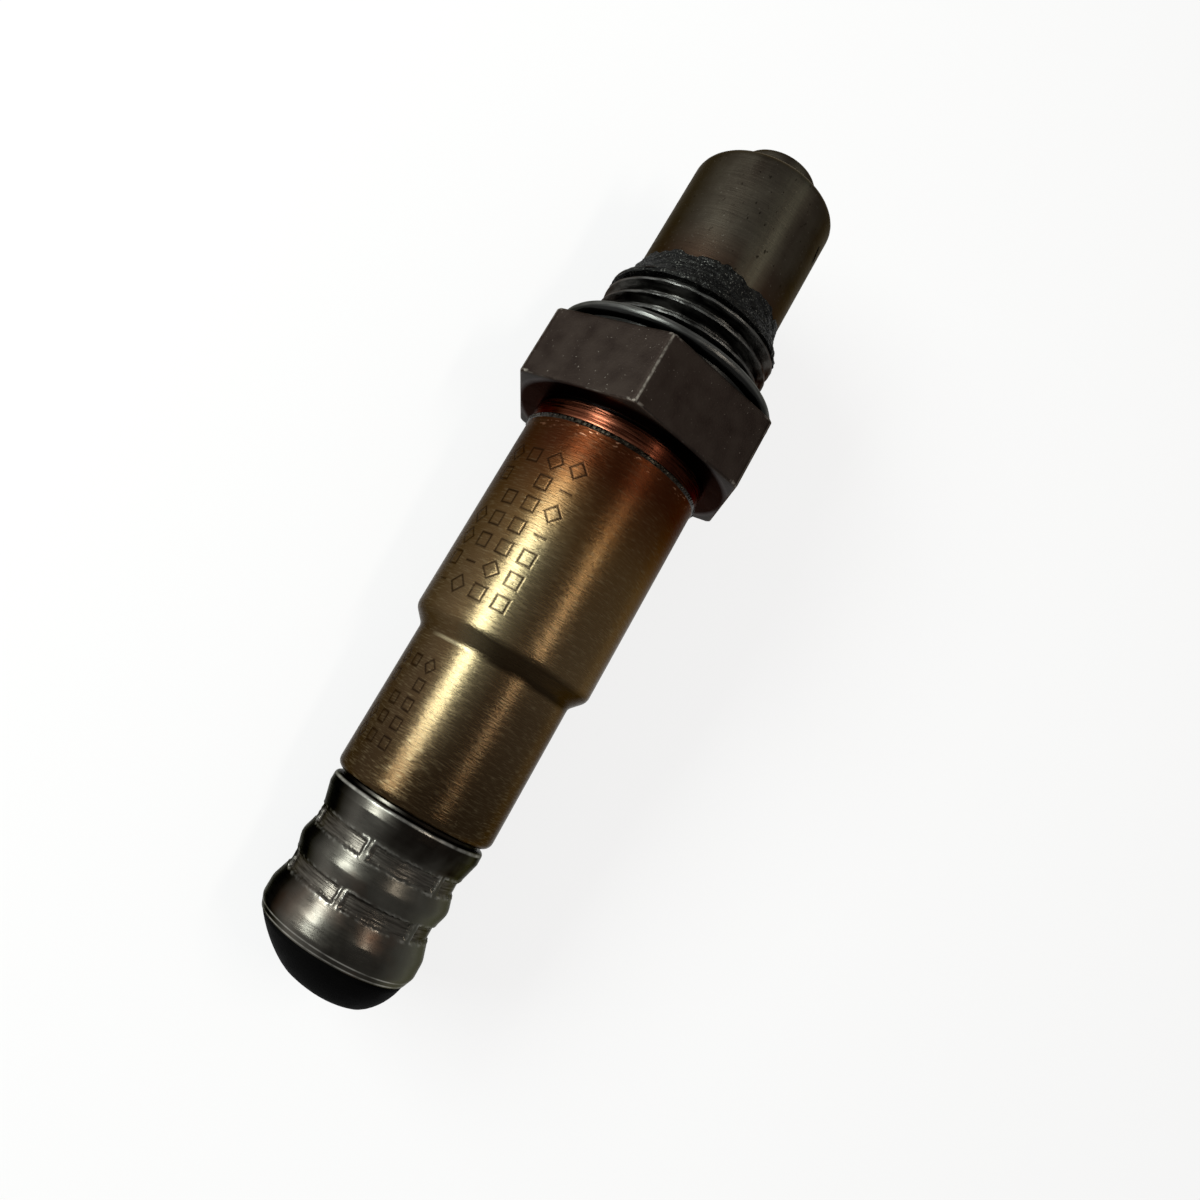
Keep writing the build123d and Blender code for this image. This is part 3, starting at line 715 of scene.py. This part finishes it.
filled = maths("GREATER_THAN", pick, 0.12)
for value, count in ((row, given["Rows"]), (place_in_row, given["Marks"])):
    filled = times(filled, times(maths(
        "GREATER_THAN", value, 0.0), maths("LESS_THAN", value, count)))
add("NodeGroupOutput", [times(mark, filled)])

sleeve_steel, shader, place = new_material("sleeve_steel")
weld_red, tint_gold, tint_bronze = (0.040, 0.0105, 0.0034), (0.094, 0.051, 0.018), (0.100, 0.064, 0.030)
small_bronze, pale_straw_highlight, straw_gold_highlight = (0.066, 0.041, 0.020), (0.160, 0.133, 0.074), (0.130, 0.075, 0.030)
rear_brown, spatter_bright, shoulder_shade_brown = (0.034, 0.020, 0.009), (0.24, 0.12, 0.07), (0.013, 0.008, 0.004)
fold_highlight_straw = (0.27, 0.225, 0.135)
bright_fleck, etched_brown, sleeve_painted_shade = (0.19, 0.15, 0.085), (0.010, 0.005, 0.0026), (0.024, 0.016, 0.009)
spot = split(place)
wander = maths("MULTIPLY_ADD", noise(place, 0.12), 3.0, maths("SUBTRACT", spot["Z"], 1.5))
colour = mixed(ranged(wander, -12.0, -19.5), weld_red, tint_gold)
colour = mixed(ranged(wander, -17.0, -27.0), colour, tint_bronze)
colour = mixed(ranged(wander, -29.0, -34.0), colour, small_bronze)
# The pale straw strip down one side of the sleeve is partly heat tint and partly a painted highlight.
straw_highlight = mixed(ranged(wander, -14.0, -21.0), straw_gold_highlight, pale_straw_highlight)
colour = mixed(ranged(wander, -36.0, -43.0, 0.0, 0.9), colour, rear_brown)
straw_highlight_side = use(side_group, place, Middle=141.0, None_beyond=19.0, Full_within=4.0)
straw_highlight_side = times(straw_highlight_side, times(ranged(
    wander, -11.5, -22.0, 0.0, 0.8), ranged(wander, -42.0, -31.5, 0.0, 1.0)))
colour = mixed(straw_highlight_side, colour, straw_highlight)
# The sleeve's shoulder is painted dark brown as shade in its crease, darkest on one side.
shoulder_shade = times(ranged(spot["Z"], -29.1, -29.7), ranged(spot["Z"], -31.5, -31.1))
shoulder_shade_side = use(side_group, place, Middle=215.0, None_beyond=95.0, Full_within=65.0)
shoulder_shade = times(shoulder_shade, ranged(shoulder_shade_side, 0.0, 1.0, 0.3, 0.85))
# The sleeve is painted darker on its underside, towards the floor, as shade.
shaded_underside = use(side_group, place, Middle=30.0, None_beyond=92.0, Full_within=60.0)
colour = mixed(times(shaded_underside, 0.6), colour, sleeve_painted_shade)
grain = use(grain_group, place, Around=1.1, Along=8.0)
fleck = times(maths("POWER", grain, 4.0), ranged(wander, -12.0, -20.0, 0.08, 0.4))
colour = mixed(fleck, colour, bright_fleck)
pits = use(speck_group, place, Speck_size=0.3, Share=0.12)
colour = mixed(times(pits, ranged(wander, -12.0, -20.0, 0.1, 0.5)), colour, bright_fleck)
colour = mixed(shoulder_shade, colour, shoulder_shade_brown)
# A pale line at the shoulder's foot, on one side only, is a painted highlight.
fold_highlight = ranged(maths("ABSOLUTE", maths("SUBTRACT", spot["Z"], -31.2)), 0.22, 0.06)
fold_highlight_side = use(side_group, place, Middle=121.0, None_beyond=19.0, Full_within=6.0)
colour = mixed(times(fold_highlight, fold_highlight_side), colour, fold_highlight_straw)
cloud = use(cloud_group, place, Patch_size=2.5, Contrast=1.4)
large_marks = use(mark_group, place, First_turn=86.0, Row_turn=15.5, Rows=4.0, Start=-12.4, Pitch=2.2,
                  Marks=7.0, Mark_size=0.62, Line=0.17)
small_marks = use(mark_group, place, First_turn=82.0, Row_turn=14.0, Rows=3.0, Start=-33.0, Pitch=1.8,
                  Marks=5.0, Mark_size=0.5, Line=0.17)
spatter = times(ranged(spot["Z"], -10.7, -9.7), use(
    speck_group, stretched(place, 0.5, 1.6), Speck_size=0.32, Share=0.36))
colour = mixed(spatter, colour, spatter_bright)
marks = times(maths("MAXIMUM", large_marks, small_marks), ranged(
    cloud, 0.1, 0.6, 0.7, 1.0))
colour = mixed(marks, colour, etched_brown)
brushed = maths("ADD", ranged(grain, 0.0, 1.0, 0.23, 0.31), ranged(wander, -23.0, -12.0, 0.0, 0.09))
finished(shader, maths("SUBTRACT", grain, marks), 0.019, Base_Color=colour, Metallic=1.0,
         Roughness=brushed, Specular_Tint=(0.48, 0.46, 0.44, 1.0))

sleeve_outline = evened(rounded([
    (sleeve_radius, sleeve_front, 0), (sleeve_radius, shoulder_front, shoulder_round),
    (small_radius, shoulder_rear, shoulder_round - sleeve_wall), (small_radius, sleeve_rear, 0.87),
    (lip_inner, sleeve_rear, 0), (lip_inner, sleeve_rear + sleeve_wall, 0),
    (small_bore, sleeve_rear + sleeve_wall, 0), (small_bore, shoulder_rear + 0.2, 0),
    (sleeve_bore, shoulder_front + 0.2, 0), (sleeve_bore, sleeve_front, 0),
]), turned_spacing)
sleeve = made_piece("tinted_sleeve", lathed("tinted_sleeve", sleeve_outline, turned_segments), sleeve_steel)
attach(sleeve, "root")
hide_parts("protective_sleeve")


# Weld: the bead round the joint between the collar and the sleeve, run by laser as the sensor turns.
# It is grey, in small even ripples, with a few bright beads of spatter beside it.
weld_lap, weld_rise, weld_spacing = 0.08, 0.1, 0.15
bead_radius, bead_lift, bead_count = 0.155, 0.05, 124
weld_flank, weld_crown = sleeve_radius + weld_rise * 0.8, sleeve_radius + weld_rise
weld_middle = (sleeve_front + collar_rear) / 2
weld_outline = evened([Vector(point) for point in (
    (rear_spigot_radius, sleeve_front), (sleeve_radius, sleeve_front),
    (sleeve_radius, sleeve_front - weld_lap), (weld_flank, sleeve_front), (weld_crown, weld_middle),
    (weld_flank, collar_rear), (sleeve_radius, collar_rear + weld_lap),
    (sleeve_radius, collar_rear), (rear_spigot_radius, collar_rear))], weld_spacing)
weld_steel, shader, place = new_material("weld_steel")
weld_dark, weld_grey = (0.004, 0.003, 0.002), (0.034, 0.029, 0.022)
ripple = noise(place, 3.0, 4.0)
colour = mixed(ranged(ripple, 0.4, 0.65), weld_dark, weld_grey)
finished(shader, ripple, 0.05, Base_Color=colour, Metallic=1.0, Roughness=0.38)

bead_tree, size = geometry_tree("weld_ripples", ["Weld radius", "Bead radius", "Bead count", "Height"])
around = add("GeometryNodeCurvePrimitiveCircle", {
    "Resolution": 64, "Radius": size["Weld radius"]}, mode="RADIUS")
dots = add("GeometryNodeCurveToPoints", {"Curve": around, "Count": size["Bead count"]}, mode="COUNT")
ball = add("GeometryNodeMeshIcoSphere", {"Radius": size["Bead radius"], "Subdivisions": 2})
random_size = add("FunctionNodeRandomValue", {2: 0.55, 3: 1.25, "Seed": 7}).node.outputs[1]
beads = add("GeometryNodeInstanceOnPoints", {"Points": dots, "Instance": ball, "Scale": random_size})
level = add("ShaderNodeCombineXYZ", [0.0, 0.0, size["Height"]])
lifted = add("GeometryNodeTransform", {"Geometry": beads, "Translation": level})
bodies = add("GeometryNodeJoinGeometry", [lifted])
bead_tree.links.new(size["Mesh"], bodies.node.inputs[0])
end_tree(bodies, size["Material"])
weld_mesh = grown(lathed("weld", weld_outline, turned_segments), bead_tree, {
    "Weld radius": sleeve_radius + bead_lift, "Bead radius": bead_radius, "Bead count": float(bead_count),
    "Height": weld_middle, "Material": weld_steel})
weld = made_piece("sleeve_weld_bead", weld_mesh, weld_steel)
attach(weld, "root")
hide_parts("sleeve_weld")


# Crimp sleeve: bright steel sleeve over the grommet. Six jaws at a time have pressed it into two
# waists, and each jaw has left a shallow rectangle with burrs between it and the next.
neck_radius, neck_front = 6.7, -41.0
rim_radius, rim_front, rim_rear, rim_round = 7.37, -45.15, -46.25, 0.4
band_radius, band_1, band_2 = 6.85, (-48.05, -49.65), (-52.15, -53.75)
bulge_radius, bulge_middle, bulge_round = 7.25, -50.9, 1.4
barrel_radius, barrel_front, barrel_rear, waist_round = 7.35, -55.25, -56.65, 0.7
rolled_radius, crimp_rear, crimp_wall = 6.95, -57.55, 0.5
jaw_depth, jaw_length, jaw_count, ridge_degrees, first_ridge = 0.2, 1.4, 6, 6.0, 22.5
burr_height, jaw_waver = 0.09, 0.34
rim_line, barrel_lines = rim_front - 0.27, (barrel_rear - 0.3, crimp_rear + 0.17)

crimp_steel, shader, place = new_material("crimp_steel")
crimp_dark, crimp_light, crimp_brown = (0.025, 0.0225, 0.0185), (0.088, 0.083, 0.070), (0.055, 0.036, 0.026)
jaw_dark, jaw_light, burr_and_highlight_bright = (0.020, 0.017, 0.014), (0.11, 0.10, 0.085), (0.40, 0.39, 0.35)
crimp_highlight, crimp_painted_shade, crimp_reflection_pale = (0.108, 0.102, 0.088), (0.004, 0.004, 0.0035), (0.115, 0.115, 0.092)
rim_reflection_brown = (0.011, 0.0085, 0.0065)
cloud = use(cloud_group, place, Patch_size=4.5, Contrast=2.6)
colour = mixed(cloud, crimp_dark, crimp_light)
stain = ranged(noise(place, 0.25), 0.48, 0.68)
colour = mixed(stain, colour, crimp_brown)
# A pale band down one flank of the crimp sleeve is a painted reflection of the floor.
reflection_pale_side = use(side_group, place, Middle=226.0, None_beyond=38.0, Full_within=14.0)
colour = mixed(times(reflection_pale_side, 0.75), colour, crimp_reflection_pale)
spot = split(place)
# A dark band behind the rim is a painted dark reflection.
rim_dark_reflection = times(ranged(spot["Z"], -48.3, -47.6), ranged(
    noise(place, 0.3), 0.35, 0.6, 0.55, 0.95))
colour = mixed(rim_dark_reflection, colour, rim_reflection_brown)
# The crimp sleeve is painted lighter on the side where the lamp's highlight falls, as a painted highlight.
highlight_side = use(side_group, place, Middle=131.0, None_beyond=24.0, Full_within=7.0)
colour = mixed(times(highlight_side, 0.55), colour, crimp_highlight)
# The crimp sleeve is painted nearly black on its underside, towards the floor, as shade.
shaded_underside = use(side_group, place, Middle=30.0, None_beyond=90.0, Full_within=70.0)
colour = mixed(times(shaded_underside, 0.92), colour, crimp_painted_shade)
# Bright lines round the rim and the rolled end are painted highlights. The same bright colour marks the real
# jaw burrs further on.
edge_highlights = ranged(maths("ABSOLUTE", maths("SUBTRACT", spot["Z"], rim_line)), 0.16, 0.05)
for height in barrel_lines:
    line = ranged(maths("ABSOLUTE", maths("SUBTRACT", spot["Z"], height)), 0.08, 0.02)
    edge_highlights = maths("MAXIMUM", edge_highlights, line)
edge_highlights = times(edge_highlights, ranged(noise(place, 0.8, 5.0), 0.3, 0.65, 0.1, 0.8))
colour = mixed(edge_highlights, colour, burr_and_highlight_bright)
scored = use(grain_group, place, Around=0.5, Along=7.0)
pressed = add("ShaderNodeAttribute", attribute_name="jaw_face").node.outputs["Fac"]
colour = mixed(times(pressed, 0.8), colour, mixed(scored, jaw_dark, jaw_light))
burred = add("ShaderNodeAttribute", attribute_name="jaw_burr").node.outputs["Fac"]
colour = mixed(times(burred, 0.7), colour, burr_and_highlight_bright)
grain = use(grain_group, place, Around=0.8, Along=6.0)
patchy = noise(place, 0.5, 4.0)
haze = maths("MULTIPLY_ADD", ranged(patchy, 0.35, 0.65), 0.10, ranged(grain, 0.0, 1.0, 0.22, 0.31))
scoring = times(maths("SUBTRACT", scored, grain), pressed)
finished(shader, maths("MULTIPLY_ADD", scoring, 4.0, grain), 0.004, Base_Color=colour, Metallic=1.0,
         Roughness=haze, Specular_Tint=(0.36, 0.36, 0.33, 1.0))

crimp_outside = rounded([
    (neck_radius, neck_front, 0), (neck_radius, rim_front, 0), (rim_radius, rim_front, rim_round),
    (rim_radius, rim_rear, 0.3), (band_radius, band_1[0], waist_round), (band_radius, band_1[1], waist_round),
    (bulge_radius, bulge_middle, bulge_round), (band_radius, band_2[0], waist_round),
    (band_radius, band_2[1], waist_round), (barrel_radius, barrel_front, bulge_round),
    (barrel_radius, barrel_rear, waist_round), (rolled_radius, crimp_rear, 0.12),
    (rolled_radius - crimp_wall, crimp_rear, 0.12),
])
crimp_inside = [Vector((p.x - crimp_wall - jaw_depth, p.y))
                for p in crimp_outside[::-1] if rim_rear > p.y > barrel_rear]
crimp_inside += [Vector((neck_radius - crimp_wall, height)) for height in (rim_front, neck_front)]
crimp_spacing, crimp_segments = 0.112, 480
crimp_rows = []
for first, second in zip(crimp_outside, crimp_outside[1:]):
    on_neck = first.x == second.x == neck_radius
    steps = 1 if on_neck else max(1, round((second - first).length / crimp_spacing))
    crimp_rows += [first.lerp(second, step / steps) for step in range(steps)]
crimp_rows.append(crimp_outside[-1])
crimp_blank = lathed("crimp_blank", crimp_rows + crimp_inside, crimp_segments)

jaw_tree, size = geometry_tree("jaw_pressing", [
    "Outside radius", "Band 1", "Band 2", "Length", "Depth", "Jaws", "Ridge", "First ridge", "Burr", "Waver"])
position = add("GeometryNodeInputPosition")
spot = split(position)
radius = maths("SQRT", maths(
    "MULTIPLY_ADD", spot["X"], spot["X"], times(spot["Y"], spot["Y"])))
degrees = maths("DEGREES", maths("ARCTAN2", spot["Y"], spot["X"]))
pitch = maths("DIVIDE", 360.0, size["Jaws"])
half_pitch = maths("DIVIDE", pitch, 2.0)
from_ridge = maths("PINGPONG", maths("SUBTRACT", degrees, size["First ridge"]), half_pitch)
past_ridge = maths("SUBTRACT", from_ridge, maths("DIVIDE", size["Ridge"], 2.0))
in_jaw = times(maths("RADIANS", past_ridge), radius)
in_bands = []
for band in ("Band 1", "Band 2"):
    off = maths("ABSOLUTE", maths("SUBTRACT", spot["Z"], size[band]))
    in_bands.append(maths("SUBTRACT", maths("DIVIDE", size["Length"], 2.0), off))
inside = maths("MINIMUM", in_jaw, maths("MAXIMUM", *in_bands))
ragged = add("ShaderNodeTexNoise", {"Vector": position, "Scale": 2.9, "Detail": 5.0})
waver = times(maths("SUBTRACT", ragged, 0.5), size["Waver"])
inside = maths("ADD", inside, waver)
pressed = ranged(inside, -0.04, 0.14)
lump = ranged(maths("ABSOLUTE", maths("ADD", inside, 0.11)), 0.13, 0.0)
patchy = ranged(add("ShaderNodeTexNoise", {
    "Vector": position, "Scale": 1.3, "Detail": 4.0}), 0.42, 0.60, 0.0, 1.0)
near_ridge = ranged(in_jaw, 1.2, 0.2, 0.45, 1.0)
burr = times(lump, times(patchy, near_ridge))
rise = maths("SUBTRACT", times(burr, size["Burr"]), times(
    pressed, size["Depth"]))
scale = maths("ADD", 1.0, maths("DIVIDE", rise, radius))
moved = add("ShaderNodeCombineXYZ", [
    times(spot["X"], scale), times(spot["Y"], scale), spot["Z"]])
outer = maths("GREATER_THAN", radius, size["Outside radius"])
marked = size["Mesh"]
for name, value in (("jaw_face", pressed), ("jaw_burr", burr)):
    marked = add("GeometryNodeStoreNamedAttribute", {
        "Geometry": marked, "Selection": outer, "Name": name, "Value": value})
end_tree(add("GeometryNodeSetPosition", {
    "Geometry": marked, "Selection": outer, "Position": moved}), size["Material"])
crimp = made_piece("crimp_collar", grown(crimp_blank, jaw_tree, {
    "Outside radius": band_radius - 0.15, "Band 1": sum(band_1) / 2, "Band 2": sum(band_2) / 2,
    "Length": jaw_length, "Depth": jaw_depth, "Jaws": float(jaw_count), "Ridge": ridge_degrees,
    "First ridge": first_ridge, "Burr": burr_height, "Waver": jaw_waver,
    "Material": crimp_steel}), crimp_steel, 60)
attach(crimp, "root")
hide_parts("crimp_sleeve")


# Grommet: black rubber plug with four lead passages, squeezed by the crimp sleeve. Its domed head
# stands out of the sleeve and leans a little to one side.
lean_way, lean_share = Vector((-0.519, -0.855, 0.0)), 0.31
blunt_from, blunt_share = 3.0, 0.35
rubber_black, rubber_grey = (0.0006, 0.0006, 0.0006), (0.0016, 0.0015, 0.0015)
grommet_rubber, shader, place = new_material("grommet_rubber")
cloud = use(cloud_group, place, Patch_size=1.2, Contrast=1.6)
finished(shader, noise(place, 4.0, 5.0), 0.02, Base_Color=mixed(cloud, rubber_black, rubber_grey),
         Roughness=ranged(cloud, 0.0, 1.0, 0.55, 0.75), Specular_IOR_Level=0.012)

rubber_mesh = frame["nodes"]["grommet"].data.copy()
rubber_mesh.transform(sensor_place.inverted())
for vertex in rubber_mesh.vertices:
    stand_out = max(0.0, crimp_rear - vertex.co.z)
    vertex.co.z += max(0.0, stand_out - blunt_from) * blunt_share
    vertex.co += lean_way * lean_share * stand_out
rubber = made_piece("rubber_grommet", rubber_mesh, grommet_rubber, 25)
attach(rubber, "root")
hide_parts("grommet")


# Inner pieces: the sensing strip, its ceramic bushes and powder seal, the press ring, the four
# contacts in their two-part holder with its spring, and the spacer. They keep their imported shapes.
def plain_finish(name, first, second, patch, metallic, rough, grain_depth):
    """Material of a hidden piece: two near colours in soft patches, with a fine grain."""
    material, shader, place = new_material(name)
    cloud = use(cloud_group, place, Patch_size=patch, Contrast=1.6)
    finished(shader, noise(place, 4.0, 4.0), grain_depth, Base_Color=mixed(cloud, first, second),
             Metallic=metallic, Roughness=ranged(cloud, 0.0, 1.0, *rough))
    return material


inner_finishes = [
    (plain_finish("element_ceramic", (0.66, 0.65, 0.63), (0.74, 0.73, 0.71), 2.0, 0.0, (0.45, 0.6), 0.01),
     ["sensor_element"]),
    (plain_finish("steatite", (0.70, 0.67, 0.60), (0.78, 0.75, 0.69), 2.5, 0.0, (0.55, 0.7), 0.02),
     ["front_ceramic", "rear_ceramic", "contact_holder_upper", "contact_holder_lower"]),
    (plain_finish("packing_powder", (0.20, 0.22, 0.19), (0.27, 0.29, 0.25), 0.8, 0.0, (0.8, 0.95), 0.06),
     ["seal_packing"]),
    (plain_finish("spring_steel", (0.42, 0.42, 0.42), (0.55, 0.55, 0.54), 2.0, 1.0, (0.22, 0.34), 0.005),
     ["press_ring", "holder_spring"]),
    (plain_finish("contact_alloy", (0.50, 0.46, 0.38), (0.60, 0.56, 0.48), 1.5, 1.0, (0.2, 0.32), 0.004),
     [f"contact_{number}" for number in range(1, 5)]),
    (plain_finish("spacer_polymer", (0.72, 0.70, 0.64), (0.78, 0.76, 0.71), 3.0, 0.0, (0.35, 0.5), 0.01),
     ["lead_spacer"]),
]
for finish, names in inner_finishes:
    for name in names:
        node = frame["nodes"][name]
        if not node.material_slots:
            node.data.materials.append(finish)
        for slot in node.material_slots:
            slot.material = finish


# Floor: a plain white sheet that the sensor lies on. The camera, gloss and glass see it near white,
# and the sensor's soft shadow stays on it.
floor_size = 3.0
floor_mesh = bpy.data.meshes.new("floor")
corners = [(x * floor_size / 2, y * floor_size / 2, 0.0) for x, y in ((-1, -1), (1, -1), (1, 1), (-1, 1))]
floor_mesh.from_pydata(corners, [], [(0, 1, 2, 3)])
floor = bpy.data.objects.new("floor", floor_mesh)
bpy.context.scene.collection.objects.link(floor)
paper = bpy.data.materials.new("white_paper")
paper.use_nodes = True
tree = paper.node_tree
tree.nodes.clear()
matt = add("ShaderNodeBsdfDiffuse", {"Color": (0.85, 0.85, 0.85, 1)})
glow = add("ShaderNodeEmission", {"Color": (1, 1, 1, 1), "Strength": 1.0})
ray = add("ShaderNodeLightPath").node.outputs
seen = maths("MAXIMUM", ray["Is Camera Ray"], maths(
    "MAXIMUM", ray["Is Glossy Ray"], ray["Is Transmission Ray"]))
white_share = 0.78
part = add("ShaderNodeMixShader", [times(seen, white_share), matt, glow])
add("ShaderNodeOutputMaterial", [part])
floor_mesh.materials.append(paper)


# Light: a pale room, darker overhead than at its walls, with two long soft lamps that run along the
# sensor, one on each side above it. The first is strong and cool, the second weak and warm.
world = bpy.data.worlds.new("pale_room")
bpy.context.scene.world = world
world.use_nodes = True
tree = world.node_tree
tree.nodes.clear()
overhead_light, level_light = 0.30, 0.52
way = split(add("ShaderNodeTexCoord"))
strength = ranged(way["Z"], 0.0, 1.0, level_light, overhead_light)
add("ShaderNodeOutputWorld", [add("ShaderNodeBackground", [(1, 1, 1, 1), strength])])

lamp_distance, lamp_height = 0.40, 0.01
lamps = [("left_lamp", 0.90, 0.43, 0.0, 0.28, 0.12, 2.2, (0.94, 1.0, 0.97)),
         ("right_lamp", -0.20, 0.98, 0.08, 0.20, 0.035, 0.35, (1.0, 0.90, 0.79))]
for name, across, height, along, length, width, watts, tone in lamps:
    lamp_data = bpy.data.lights.new(name, "AREA")
    lamp_data.shape = "RECTANGLE"
    lamp_data.size, lamp_data.size_y = length, width
    lamp_data.energy = watts
    lamp_data.color = tone
    lamp = bpy.data.objects.new(name, lamp_data)
    bpy.context.scene.collection.objects.link(lamp)
    away = Vector((0, across, height)).normalized()
    long_way = gas_way - away * gas_way.dot(away)
    long_way.normalize()
    lamp.matrix_world = Matrix.Translation(away * lamp_distance + Vector((along, 0, lamp_height))) @ Matrix(
        (long_way, away.cross(long_way), away)).transposed().to_4x4()


# Camera: above the crimp sleeve's end, looking down and along the sensor towards its gas end. Its
# place and turn are in the sensor's axes, fitted to the hexagon and the turned edges.
camera_point = Vector((-78.1475, 37.71, -36.74))
picture_right = Vector((-0.450728, -0.742173, 0.496111))
picture_down = Vector((-0.051498, -0.533234, -0.844443))
camera_data = bpy.data.cameras.new("camera")
camera_data.lens = 28.64
camera_data.sensor_width = 36.0
camera_data.shift_x, camera_data.shift_y = 0.0487, -0.0468
camera_data.clip_start, camera_data.clip_end = 0.005, 10.0
camera = bpy.data.objects.new("camera", camera_data)
bpy.context.scene.collection.objects.link(camera)
right = (sensor_turn @ picture_right).normalized()
back = right.cross(sensor_turn @ -picture_down).normalized()
camera.matrix_world = Matrix.Translation(sensor_place @ camera_point) @ Matrix(
    (right, back.cross(right), back)).transposed().to_4x4()
bpy.context.scene.camera = camera
bpy.context.scene.view_settings.view_transform = "Standard"
